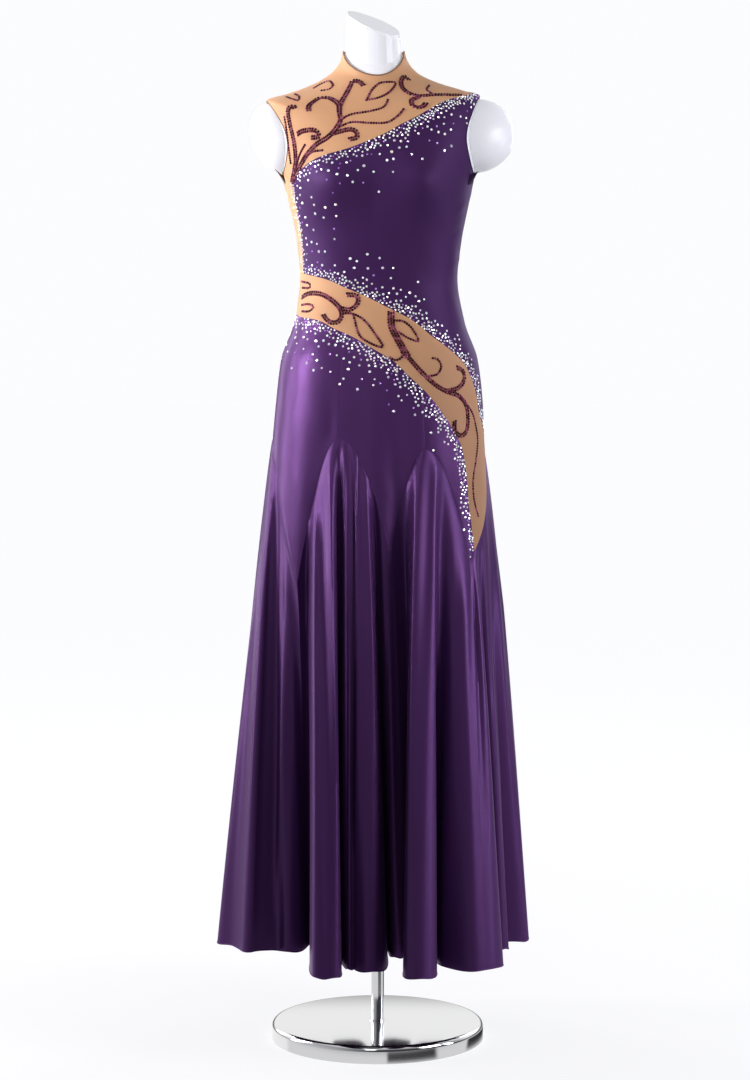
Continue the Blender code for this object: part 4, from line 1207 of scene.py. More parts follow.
def down_to_arches(line: Points) -> Points:
    """A line that starts above the arched seams, cut off where it meets them.

    Args:
        line: the line, from above.

    Returns:
        The line, with its last point on the seam.
    """
    above = line[:, 1] - [SKIRT.seam_height(angle) for angle in line[:, 0]]
    last = int(np.argmax(above < 0)) - 1
    share = above[last] / (above[last] - above[last + 1])
    tip = line[last] + share * (line[last + 1] - line[last])
    return np.vstack([line[: last + 1], (tip[0], SKIRT.seam_height(tip[0]))])


def godet_columns(start: float, peak: float, end: float) -> Points:
    """The bend numbers of a godet's columns: its two sides, its peak, and even steps between them.

    Args:
        start: the angle of its first side.
        peak: the angle of its peak.
        end: the angle of its last side.

    Returns:
        The bend numbers.
    """
    low, middle, high = (SKIRT.bend_at(angle) for angle in (start, peak, end))
    first = np.linspace(low, middle, round((middle - low) * COLUMNS_PER_BEND) + 1)
    last = np.linspace(middle, high, round((high - middle) * COLUMNS_PER_BEND) + 1)
    return np.concatenate([first, last[1:]])


def plan_godets() -> dict[str, Points]:
    """The columns of each godet, by the side of the dress that it peaks at.

    Returns:
        Each godet's columns, by name.
    """
    names = ("side_left", "front_left", "front_right", "side_right", "back_right", "back_left")
    ends = [SKIRT.arches[-1].point - 360, *(row.point for row in SKIRT.arches)]
    return {
        name: godet_columns(ends[i], SKIRT.arches[i].peak, ends[i + 1]) for i, name in enumerate(names)
    }


def arch_leg(start: float, end: float) -> Points:
    """The arched seam from one angle to another, by way of every godet column between them.

    Args:
        start: the first angle.
        end: the last angle.

    Returns:
        Angles and paths, from start to end.
    """
    low, high = min(start, end), max(start, end)
    columns = [angle + turn for angle in SEAM_ANGLES for turn in (-360, 0, 360)]
    passed = [angle for angle in columns if low + ARCH_MERGE_DEG < angle < high - ARCH_MERGE_DEG]
    angles = sorted([low, *passed, high], reverse=bool(start > end))
    return np.column_stack([angles, [SKIRT.seam_height(angle) for angle in angles]])


MERGE_DEG, ARCH_MERGE_DEG, MERGE_FLAT = 0.25, 0.02, 0.0003
COLUMNS_PER_BEND = 10
SEAM_STEPS = 110  # of a long style line
GODETS = plan_godets()
SEAM_ANGLES = sorted({float(a) for columns in GODETS.values() for a in SKIRT.top_angle(columns) % 360})
BAND_TOP = spline_through(
    [(LEFT_SIDE, BAND_SIDE_TOP), *BODY.front_line(BAND_TOP_LINE), (RIGHT_SIDE, BAND_MEETING)], SEAM_STEPS
)
BAND_FOOT = spline_through([(LEFT_SIDE, BAND_SIDE_FOOT), *BODY.front_line(BAND_FOOT_LINE)], SEAM_STEPS)
FRONT_FOOT, BACK_FOOT = down_to_arches(BAND_FOOT), down_to_arches(mirrored(BAND_FOOT))
YOKE_SEAM = spline_through(
    [(SIDE_MESH_DEG[0], SIDE_MESH_CORNER), *BODY.front_line(YOKE_LINE), (RIGHT_SIDE, YOKE_SHOULDER)],
    SEAM_STEPS,
)
SIDE_EDGE = straight(YOKE_SEAM[0], (SIDE_MESH_DEG[1], cut_at(BAND_TOP, SIDE_MESH_DEG[1])), 28)


# ---- cloth, cut out

# Paths, and their heights in the flat.
PATHS, FLAT_HEIGHTS = (0.0, 1.46, 1.55, 1.675), (0.0, 1.46, 1.64, 1.8)


def laid_flat(points: Points) -> Points:
    """Angles and paths as flat points, spread wider where the shoulders curve most."""
    return np.column_stack([points[:, 0] * METRES_PER_DEGREE, np.interp(points[:, 1], PATHS, FLAT_HEIGHTS)])


def lifted(flat: Points) -> Points:
    """Flat points as angles and paths."""
    return np.column_stack([flat[:, 0] / METRES_PER_DEGREE, np.interp(flat[:, 1], FLAT_HEIGHTS, PATHS)])


def signed_area(points: Points) -> float:
    """Area of a closed outline, positive when it turns anticlockwise."""
    x, y = points.T
    return float((x * np.roll(y, -1) - y * np.roll(x, -1)).sum() / 2)


def lies_in(points: Points, outline: Points) -> Points:
    """Which points lie in a closed outline.

    Args:
        points: flat points.
        outline: a closed outline.

    Returns:
        True for each point inside.
    """
    found = np.zeros(len(points), bool)
    for (x0, y0), (x1, y1) in zip(outline, np.roll(outline, -1, axis=0)):
        crosses = (y0 > points[:, 1]) != (y1 > points[:, 1])
        with np.errstate(divide="ignore", invalid="ignore"):
            reach = (x1 - x0) * (points[:, 1] - y0) / (y1 - y0) + x0
        found = found ^ (crosses & (points[:, 0] < reach))
    return found


def distance_to(points: Points, outline: Points) -> Points:
    """Distance of each point from a closed outline.

    Args:
        points: flat points.
        outline: a closed outline.

    Returns:
        The distances.
    """
    nearest = np.full(len(points), np.inf)
    for start, end in zip(outline, np.roll(outline, -1, axis=0)):
        along = end - start
        share = np.clip(((points - start) @ along) / max(along @ along, 1e-12), 0, 1)
        nearest = np.minimum(nearest, np.linalg.norm(points - start - share[:, None] * along, axis=1))
    return nearest


CUT_TURN_DEG = 2  # the steps in which a cut is turned to find its smallest rectangle


def cut_size(flat: Points) -> Pair:
    """The sides of the smallest rectangle that an outline is cut from.

    Args:
        flat: the outline's points, in metres.

    Returns:
        Width and length.
    """
    best = (math.inf, 0.0, 0.0)
    for degrees in range(0, 90, CUT_TURN_DEG):
        turn = math.radians(degrees)
        x = flat @ (math.cos(turn), math.sin(turn))
        y = flat @ (-math.sin(turn), math.cos(turn))
        width, length = float(np.ptp(x)), float(np.ptp(y))
        best = min(best, (width * length, width, length))
    return best[1:]


class Held(Enum):
    """How a sheet of cloth is held."""

    STRETCHED = "stretched"
    HUNG = "hung"


@dataclass
class Sheet:
    """One cut piece of cloth, as a thin closed wall, which stands for the solid of the same name."""

    name: str
    finish: Finish
    outer: Points
    normals: Points
    faces: Faces
    uv: Points
    flat: Pair
    held: Held
    thickness: float = 0.0008

    def area(self) -> float:
        """The cloth's own area.

        Returns:
            Square metres.
        """
        total = 0.0
        for face in self.faces:
            corners = self.outer[list(face)]
            for b, c in zip(corners[1:-1], corners[2:]):
                total += float(np.linalg.norm(np.cross(b - corners[0], c - corners[0]))) / 2
        return total

    def build(self) -> Piece:
        """Returns:
            The new piece.
        """
        count = len(self.outer)
        inner = self.outer - self.normals * self.thickness
        faces = [*self.faces, *(tuple(i + count for i in reversed(face)) for face in self.faces)]
        sides = {(a, b) for face in self.faces for a, b in zip(face, (*face[1:], face[0]))}
        faces += [(b, a, a + count, b + count) for a, b in sides if (b, a) not in sides]
        mesh = mesh_of(f"cloth_{self.name}", np.vstack([self.outer, inner]), faces)
        corners = np.zeros(len(mesh.loops), int)
        mesh.loops.foreach_get("vertex_index", corners)
        both_sides = np.vstack([self.uv, self.uv])[corners]
        mesh.uv_layers.new(name="pattern").data.foreach_set("uv", both_sides.ravel())
        piece = finished(mesh, self.finish)
        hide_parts(self.name)
        width, length = self.flat
        area = self.area()
        grow = max(1.0, (area / (width * length)) ** 0.5)
        self.flat = (width * grow, length * grow)
        log.info("%s: %.2f x %.2f m, %.4f m2", piece.name, *self.flat, area)
        return piece


@dataclass
class Panels:
    """The cloth that is stretched over the body: yokes, side mesh, bodice, band and hip panels."""

    spacing: float = 0.0065
    edge_rows: tuple[float, ...] = (0.0012, 0.003)
    seam_dip: float = 0.0004
    seam_softness: float = 0.0014
    least_mitre: float = 0.35
    ring_clearance: float = 0.6  # of the ring's own distance from the edge
    grid_clearance: float = 0.35  # of the spacing
    drape_fade: float = 0.012  # how far from a seam the creases reach their full height

    def drawn_in(self, outline: Points, distance: float) -> Points:
        """An anticlockwise outline moved inwards by a real distance on the body.

        Args:
            outline: angles and paths.
            distance: how far, in metres.

        Returns:
            The smaller outline.
        """
        _, across, up = BODY.frame(*outline.T)
        scale = np.column_stack([across, up])
        towards_next = unit((np.roll(outline, -1, axis=0) - outline) * scale)
        from_last = unit((outline - np.roll(outline, 1, axis=0)) * scale)
        first = np.column_stack([-from_last[:, 1], from_last[:, 0]])
        middle = first + np.column_stack([-towards_next[:, 1], towards_next[:, 0]])
        middle /= np.maximum((middle * first).sum(axis=1), self.least_mitre)[:, None]
        return outline + distance * middle / scale

    def cut(self, name: str, finish: Finish, *runs: Points) -> None:
        """Cuts one panel.

        Args:
            name: the solid that it stands for.
            finish: its cloth.
            runs: the runs of its outline, which meet end to end.
        """
        points = np.vstack(runs)
        flat = laid_flat(points)
        outline = points[np.linalg.norm(flat - np.roll(flat, 1, axis=0), axis=1) > MERGE_FLAT]
        if signed_area(outline) < 0:
            outline = outline[::-1]
        flat = laid_flat(outline)
        low, high = flat.min(axis=0), flat.max(axis=0)
        row_height = self.spacing * math.sqrt(3) / 2
        grid = []
        for row in range(int((high[1] - low[1]) / row_height) + 1):
            start = low[0] + (row % 2) * self.spacing / 2
            grid += [(x, low[1] + row * row_height) for x in np.arange(start, high[0], self.spacing)]
        chosen = [flat]
        for distance in self.edge_rows:
            ring = laid_flat(self.drawn_in(outline, distance))
            ring = ring[lies_in(ring, flat)]
            chosen.append(ring[distance_to(ring, flat) > self.ring_clearance * distance])
        inner = np.array(grid)
        inner = inner[lies_in(inner, flat)]
        clear = self.edge_rows[-1] + self.grid_clearance * self.spacing
        chosen.append(inner[distance_to(inner, flat) > clear])
        corners = [Vector(p) for p in np.vstack(chosen)]
        edges = [(i, (i + 1) % len(flat)) for i in range(len(flat))]
        verts, _, faces, _, _, _ = delaunay_2d_cdt(corners, edges, [], 1, 1e-7)
        laid = np.array([tuple(v) for v in verts])
        at = lifted(laid)
        normals, across, up = BODY.frame(*at.T)
        from_seam = distance_to(laid, flat)
        dip = self.seam_dip * np.exp(-((from_seam / self.seam_softness) ** 2))
        rise = BODY.drape(*at.T) * np.clip(from_seam / self.drape_fade, 0, 1)
        outer = BODY.points(*at.T) + normals * (rise - dip)[:, None]
        scale = np.array([across.mean(), up.mean()])
        size = cut_size(outline * scale)
        sheet = Sheet(name, finish, outer, normals, [tuple(f) for f in faces], laid, size, Held.STRETCHED)
        sheet.build()

    def yokes(self) -> None:
        """The mesh yokes, each with its half of the grown-on stand collar."""
        shoulder_end = YOKE_SEAM[-1, 1]
        left_shoulder = straight((LEFT_SIDE, ARMHOLE_TOP), (LEFT_SIDE, COLLAR_TOP), 50)
        right_shoulder = straight((RIGHT_SIDE, COLLAR_TOP), (RIGHT_SIDE, shoulder_end), 40)
        self.cut(
            "yoke_front",
            ILLUSION_MESH,
            armhole_edge(LEFT_SIDE, True, SIDE_MESH_TOP, ARMHOLE_TOP, 50),
            left_shoulder,
            straight((LEFT_SIDE, COLLAR_TOP), (RIGHT_SIDE, COLLAR_TOP), 100),
            right_shoulder,
            YOKE_SEAM[::-1],
        )
        seam, turn = mirrored(YOKE_SEAM), np.array([360.0, 0.0])
        centre = cut_at(seam, CENTRE_BACK)
        self.cut(
            "yoke_back_left",
            ILLUSION_MESH,
            straight((CENTRE_BACK, centre), (CENTRE_BACK, COLLAR_TOP), 36),
            straight((CENTRE_BACK, COLLAR_TOP), (270.0, COLLAR_TOP), 50),
            left_shoulder[::-1] + turn,
            armhole_edge(LEFT_SIDE, False, ARMHOLE_TOP, SIDE_MESH_TOP, 50) + turn,
            between(seam, 180.0 - SIDE_MESH_DEG[0], CENTRE_BACK),
        )
        self.cut(
            "yoke_back_right",
            ILLUSION_MESH,
            straight((CENTRE_BACK, COLLAR_TOP), (CENTRE_BACK, centre), 36),
            between(seam, CENTRE_BACK, RIGHT_SIDE),
            right_shoulder[::-1],
            straight((RIGHT_SIDE, COLLAR_TOP), (CENTRE_BACK, COLLAR_TOP), 50),
        )

    def side_mesh(self) -> None:
        """The mesh under the left arm, which joins the yokes to the band."""
        back = np.array([360.0, 0.0])
        waist = between(BAND_TOP, LEFT_SIDE, SIDE_MESH_DEG[1])
        self.cut(
            "side_mesh",
            ILLUSION_MESH,
            SIDE_EDGE[::-1],
            armhole_edge(LEFT_SIDE, True, SIDE_MESH_TOP, ARMHOLE_BOTTOM, 20),
            armhole_edge(LEFT_SIDE, False, ARMHOLE_BOTTOM, SIDE_MESH_TOP, 20),
            mirrored(SIDE_EDGE) - back,
            (mirrored(waist) - back)[::-1],
            waist,
        )

    def bodice(self) -> None:
        """The satin bodice: one front, and a back in two halves that close at the centre."""
        shoulder = straight((RIGHT_SIDE, ARMHOLE_TOP), YOKE_SEAM[-1], 10)
        side_seam = straight((RIGHT_SIDE, BAND_MEETING), (RIGHT_SIDE, ARMHOLE_BOTTOM), 64)
        self.cut(
            "bodice_front",
            BODICE_SATIN,
            between(BAND_TOP, SIDE_MESH_DEG[1], RIGHT_SIDE),
            side_seam,
            armhole_edge(RIGHT_SIDE, True, ARMHOLE_BOTTOM, ARMHOLE_TOP, 60),
            shoulder,
            YOKE_SEAM[::-1],
            SIDE_EDGE,
        )
        seam, line = mirrored(YOKE_SEAM), mirrored(BAND_TOP)
        ends = (CENTRE_BACK, cut_at(line, CENTRE_BACK)), (CENTRE_BACK, cut_at(seam, CENTRE_BACK))
        closing = straight(*ends, 50)
        self.cut(
            "bodice_back_right",
            BODICE_SATIN,
            between(line, CENTRE_BACK, RIGHT_SIDE),
            side_seam,
            armhole_edge(RIGHT_SIDE, False, ARMHOLE_BOTTOM, ARMHOLE_TOP, 60),
            shoulder,
            between(seam, RIGHT_SIDE, CENTRE_BACK),
            closing[::-1],
        )
        self.cut(
            "bodice_back_left",
            BODICE_SATIN,
            between(line, CENTRE_BACK - SIDE_MESH_DEG[1], CENTRE_BACK),
            closing,
            between(seam, CENTRE_BACK, CENTRE_BACK - SIDE_MESH_DEG[0]),
            mirrored(SIDE_EDGE),
        )

    def band(self) -> None:
        """The mesh band that winds from the left waist down to a tip on the right hip, front and back."""
        left_end = straight((LEFT_SIDE, BAND_SIDE_FOOT), (LEFT_SIDE, BAND_SIDE_TOP), 14)
        right_seam = straight((RIGHT_SIDE, BAND_MEETING), (RIGHT_SIDE, SKIRT.seam_height(RIGHT_SIDE)), 12)
        leg = arch_leg(RIGHT_SIDE, FRONT_FOOT[-1, 0])
        self.cut("band_front", ILLUSION_MESH, BAND_TOP, right_seam, leg, FRONT_FOOT[::-1], left_end)
        top = mirrored(BAND_TOP)
        centre = (CENTRE_BACK, cut_at(BACK_FOOT, CENTRE_BACK)), (CENTRE_BACK, cut_at(top, CENTRE_BACK))
        closing = straight(*centre, 18)
        self.cut(
            "band_back_left",
            ILLUSION_MESH,
            closing,
            between(top, CENTRE_BACK, LEFT_SIDE + 360),
            mirrored(left_end)[::-1],
            between(BACK_FOOT, LEFT_SIDE + 360, CENTRE_BACK),
        )
        self.cut(
            "band_back_right",
            ILLUSION_MESH,
            closing[::-1],
            between(BACK_FOOT, CENTRE_BACK, BACK_FOOT[-1, 0]),
            arch_leg(BACK_FOOT[-1, 0], RIGHT_SIDE),
            right_seam[::-1],
            between(top, RIGHT_SIDE, CENTRE_BACK),
        )

    def hips(self) -> None:
        """The six pointed satin hip panels, between the band and the arched seams."""
        peaks = [row.peak for row in SKIRT.arches]
        spans = {
            "front_left": (FRONT_FOOT, peaks[0], peaks[1]),
            "front_middle": (FRONT_FOOT, peaks[1], peaks[2]),
            "front_right": (FRONT_FOOT, peaks[2], FRONT_FOOT[-1, 0]),
            "back_left": (BACK_FOOT, peaks[0] + 360, peaks[5]),
            "back_middle": (BACK_FOOT, peaks[5], peaks[4]),
            "back_right": (BACK_FOOT, peaks[4], BACK_FOOT[-1, 0]),
        }
        for name, (foot, start, end) in spans.items():
            top = between(foot, start, end)
            upright = [straight(point, (point[0], SKIRT.seam_height(point[0])), 26) for point in top[[0, -1]]]
            runs = (top, upright[1], arch_leg(end, start), upright[0][::-1])
            self.cut(f"hip_panel_{name}", SKIRT_SATIN, *runs)

    def build(self) -> None:
        """Cuts every panel."""
        for make in (self.yokes, self.side_mesh, self.bodice, self.band, self.hips):
            make()


@dataclass
class Godets:
    """The six flared godets, each with its narrow rolled hem."""

    rows: int = 64
    crowding: float = 1.12
    hem_radius: float = 0.0011
    hem_wave: float = 0.001
    normal_from: float = 0.02  # the share of the way down above which normals stay the same
    relief_from: float = 0.06  # the share of the way down at which pleats are at their full height
    relief_aside: float = 0.4  # the bends from a side seam at which they are
    column_length: float = 0.8
    seam_softness: float = 0.004
    hem_power: int = 12  # how suddenly the hem starts to wave

    def grid(self, columns: Points) -> tuple[Points, Points]:
        """A godet's points, row by row.

        Args:
            columns: the godet's bend numbers.

        Returns:
            Points and normals.
        """
        shares = (np.arange(self.rows + 1) / self.rows) ** self.crowding
        at, down = (grid.ravel() for grid in np.meshgrid(columns, shares))
        outer = SKIRT.points(at, down)
        normals = SKIRT.normals(at, np.maximum(down, self.normal_from))
        width = len(columns)
        angles = SKIRT.top_angle(columns)
        normals[:width] = BODY.frame(angles, np.array([SKIRT.seam_height(angle) for angle in angles]))[0]
        fade = np.clip(down / self.relief_from, 0, 1)
        aside = np.minimum(np.abs(columns - columns[0]), np.abs(columns - columns[-1]))
        from_edge = np.tile(np.clip(aside / self.relief_aside, 0, 1), self.rows + 1)
        rise = SKIRT.relief(at, down) * fade * from_edge
        dip = Panels.seam_dip * np.exp(-((down * self.column_length / self.seam_softness) ** 2))
        outer = outer + normals * (rise - dip)[:, None]
        outer[:, 2] += self.hem_wave * np.sin(at * 4.1) * down**self.hem_power
        return outer, normals

    def cut(self, name: str, columns: Points) -> None:
        """Cuts one godet and rolls its hem.

        Args:
            name: the godet's own name.
            columns: its bend numbers.
        """
        outer, normals = self.grid(columns)
        width = len(columns)
        corners = [row * width + column for row in range(self.rows) for column in range(width - 1)]
        faces = [(corner, corner + width, corner + width + 1, corner + 1) for corner in corners]
        mesh_grid = outer.reshape(self.rows + 1, width, 3)
        round_way = np.linalg.norm(np.diff(mesh_grid, axis=1), axis=2)
        down_way = np.linalg.norm(np.diff(mesh_grid, axis=0), axis=2)
        hem_length, longest = float(round_way[-1].sum()), float(down_way.sum(axis=0).max())
        u = np.concatenate([np.zeros((self.rows + 1, 1)), np.cumsum(round_way, axis=1)], axis=1)
        u -= u[:, width // 2 : width // 2 + 1]
        v = -np.concatenate([np.zeros((1, width)), np.cumsum(down_way, axis=0)])
        uv = np.column_stack([u.ravel(), v.ravel()])
        sheet = Sheet(name, SKIRT_SATIN, outer, normals, faces, uv, (hem_length, longest), Held.HUNG)
        piece = sheet.build()
        line = mesh_grid[-1] - normals[-width:] * sheet.thickness / 2
        points, faces = tube(line, self.hem_radius, closed=False)
        hem = finished(facing_out(mesh_of(f"hem_{name}", points, faces)), SKIRT_SATIN)
        hem.parent = piece

    def build(self) -> None:
        """Cuts every godet."""
        for name, columns in GODETS.items():
            self.cut(f"godet_{name}", columns)


class Wing(NamedTuple):
    """A small pointed wing of folded cloth at the foot of an armhole.

    It springs from the angle `at`, over `spread` degrees to either side, between `height` below the path
    `foot` and the path itself, and ends in `tip`.
    """

    name: str
    at: float
    spread: float
    foot: float
    height: float
    tip: Triple
    finish: Finish


@dataclass
class Edges:
    """The turned and stitched edges of the collar and the armholes, and the small wings at the underarms."""

    radius: float = 0.0011
    wing_rows: int = 6
    wing_shares: tuple[float, ...] = (0.0, 0.35, 0.7, 0.93)  # of the way to the tip
    wing_sunk: float = 0.0015
    wing_sag: float = 0.001
    wing_thickness: float = 0.0008
    # Each wing is dressed in painted shade: a near-black copy of its cloth, for the shaded inside of the back
    # armhole.
    wings: tuple[Wing, ...] = (
        Wing("left", -81.0, 5.0, 1.388, 0.012, (-0.1626, -0.04, 1.402), MESH_PAINTED_SHADE),
        Wing("right", 75.0, 8.0, 1.391, 0.018, (0.1602, -0.04, 1.3978), SATIN_PAINTED_SHADE),
    )

    def roll(self, name: str, line: Points, finish: Finish) -> None:
        """A rolled edge along a closed line of the body.

        Args:
            name: the piece's name.
            line: angles and paths.
            finish: its cloth.
        """
        normals, _, _ = BODY.frame(*line.T)
        points, faces = tube(BODY.points(*line.T) - normals * Sheet.thickness / 2, self.radius)
        finished(facing_out(mesh_of(name, points, faces)), finish)

    def wing(self, wing: Wing) -> None:
        """Folds one wing.

        Args:
            wing: its foot, its tip and its cloth.
        """
        angles = np.linspace(wing.at - wing.spread, wing.at + wing.spread, self.wing_rows)
        lower = BODY.points(angles, np.full(self.wing_rows, wing.foot - wing.height))
        upper = BODY.points(angles, np.full(self.wing_rows, wing.foot))
        normals, _, _ = BODY.frame(angles, np.full(self.wing_rows, wing.foot))
        lower, upper = lower - self.wing_sunk * normals, upper - self.wing_sunk * normals
        tip = np.array(wing.tip)
        curled = 0.5 * (upper.mean(axis=0) + tip) - np.array([0.0, 0.0, self.wing_sag])
        points = []
        for share in self.wing_shares:
            way = (1 - share) ** 2, 2 * share * (1 - share), share**2
            upper_row = way[0] * upper + way[1] * curled + way[2] * tip
            lower_row = way[0] * lower + way[1] * curled + way[2] * tip
            points += [upper_row, lower_row[::-1] - (0, 0, self.wing_thickness)]
        rings, sides = len(self.wing_shares), 2 * self.wing_rows
        faces = banded(rings - 1, rings, sides)
        faces += [tuple(range(sides)), tuple(range((rings - 1) * sides, rings * sides))]
        finished(facing_out(mesh_of(f"wing_{wing.name}", np.vstack(points), faces)), wing.finish)

    def build(self) -> None:
        """Rolls the collar's edge and both armholes', and adds the wings."""
        for wing in self.wings:
            self.wing(wing)
        collar = np.column_stack([np.arange(0, 360, 3.0), np.full(120, COLLAR_TOP)])
        self.roll("edge_collar", collar, MESH_EDGE)
        for name, side, finish in (("left", LEFT_SIDE, MESH_EDGE), ("right", RIGHT_SIDE, BODICE_SATIN)):
            front = armhole_edge(side, True, ARMHOLE_BOTTOM, ARMHOLE_TOP, 60)
            back = armhole_edge(side, False, ARMHOLE_BOTTOM, ARMHOLE_TOP, 60)
            self.roll(f"edge_armhole_{name}", np.vstack([front, back[-2:0:-1]]), finish)


# ---- the beading


@dataclass
class Studs:
    """Small set pieces on the cloth, joined in one mesh: cut stones or domed beads."""

    name: str
    finish: Finish
    sides: int
    rings: tuple[Pair, ...]
    tints: tuple[Colour, ...]
    facets_differ: bool
    seed: int
    tilt: float = 0.1

    def set_at(self, at: Points, radii: Points) -> None:
        """Sets the studs on the cloth, each turned and tilted a little, and joins them in one mesh.

        Args:
            at: their angles and paths.
            radii: their radii.
        """
        rng = np.random.default_rng(self.seed)
        normals, _, _ = BODY.frame(*at.T)
        where = BODY.points(*at.T) + normals * (BODY.drape(*at.T) - SET_DEPTH)[:, None]
        count, sides = len(where), self.sides
        normals = unit(normals + rng.normal(0, self.tilt, normals.shape))
        aside = unit(np.cross(normals, (0.0, 0.1, 1.0)))
        up = np.cross(normals, aside)
        turns = rng.uniform(0, 2 * math.pi, (count, 1)) + np.arange(sides) * 2 * math.pi / sides
        flat = aside[:, None] * np.cos(turns)[..., None] + up[:, None] * np.sin(turns)[..., None]
        layers = [
            where[:, None] + radii[:, None, None] * (share * flat + height * normals[:, None])
            for share, height in self.rings
        ]
        points = np.concatenate(layers, axis=1).reshape(-1, 3)
        each = sides * len(self.rings)
        pattern = banded(len(self.rings) - 1, len(self.rings), sides)
        pattern.append(tuple(range(each - sides, each)))
        faces = [tuple(i + stud * each for i in face) for stud in range(count) for face in pattern]
        mesh = mesh_of(self.name, points, faces)
        tints = np.array(self.tints)
        if self.facets_differ:
            picks = tints[rng.integers(0, len(tints), (count, len(pattern)))]
            picks = 0.5 * picks + 0.5 * tints[rng.integers(0, len(tints), (count, 1))]
        else:
            picks = np.repeat(tints[rng.integers(0, len(tints), count)][:, None], len(pattern), axis=1)
        sizes = np.array([len(face) for face in pattern])
        colours = np.repeat(picks.reshape(-1, 4), np.tile(sizes, count), axis=0)
        attribute = mesh.color_attributes.new("tint", "FLOAT_COLOR", "CORNER")
        attribute.data.foreach_set("color", colours.astype(np.float32).ravel())
        finished(mesh, self.finish, sharp_deg=0.0 if self.facets_differ else 60.0)
        log.info("%s: %d set", self.name, count)


SET_DEPTH = 0.0003
# Rings of a stud, from the cloth up: (share of its radius, height as a share of its radius).
CUT_STONE = ((1.0, 0.0), (0.96, 0.18), (0.55, 0.62))
DOMED_BEAD = ((1.0, 0.0), (0.93, 0.45), (0.45, 0.8))
AURORA = (
    (0.97, 0.97, 1.0, 1.0),
    (0.99, 0.98, 0.95, 1.0),
    (0.8, 0.94, 1.0, 1.0),
    (1.0, 0.84, 0.96, 1.0),
    (1.0, 0.93, 0.72, 1.0),
    (0.8, 0.7, 1.0, 1.0),
    (0.78, 1.0, 0.9, 1.0),
    (0.45, 0.42, 0.5, 1.0),
)
VIOLET = ((0.42, 0.16, 0.7, 1.0), (0.62, 0.34, 0.86, 1.0), (0.25, 0.1, 0.45, 1.0))
PLUM = (
    (0.075, 0.008, 0.022, 1.0),
    (0.115, 0.013, 0.034, 1.0),
    (0.04, 0.006, 0.014, 1.0),
    (0.26, 0.06, 0.115, 1.0),
)


# The seams that carry crystals, each with (packed width, thinning reach) at even steps along it.
BORDER_WIDTHS = (
    (YOKE_SEAM, ((0.008, 0.02), (0.013, 0.028), (0.015, 0.032), (0.016, 0.028), (0.013, 0.018))),
    (BAND_TOP, ((0.012, 0.03), (0.014, 0.03), (0.015, 0.024), (0.016, 0.013), (0.012, 0.006))),
    (BAND_FOOT, ((0.011, 0.03), (0.016, 0.034), (0.018, 0.026), (0.014, 0.01), (0.008, 0.003))),
    (SIDE_EDGE, ((0.006, 0.032), (0.007, 0.032))),
)


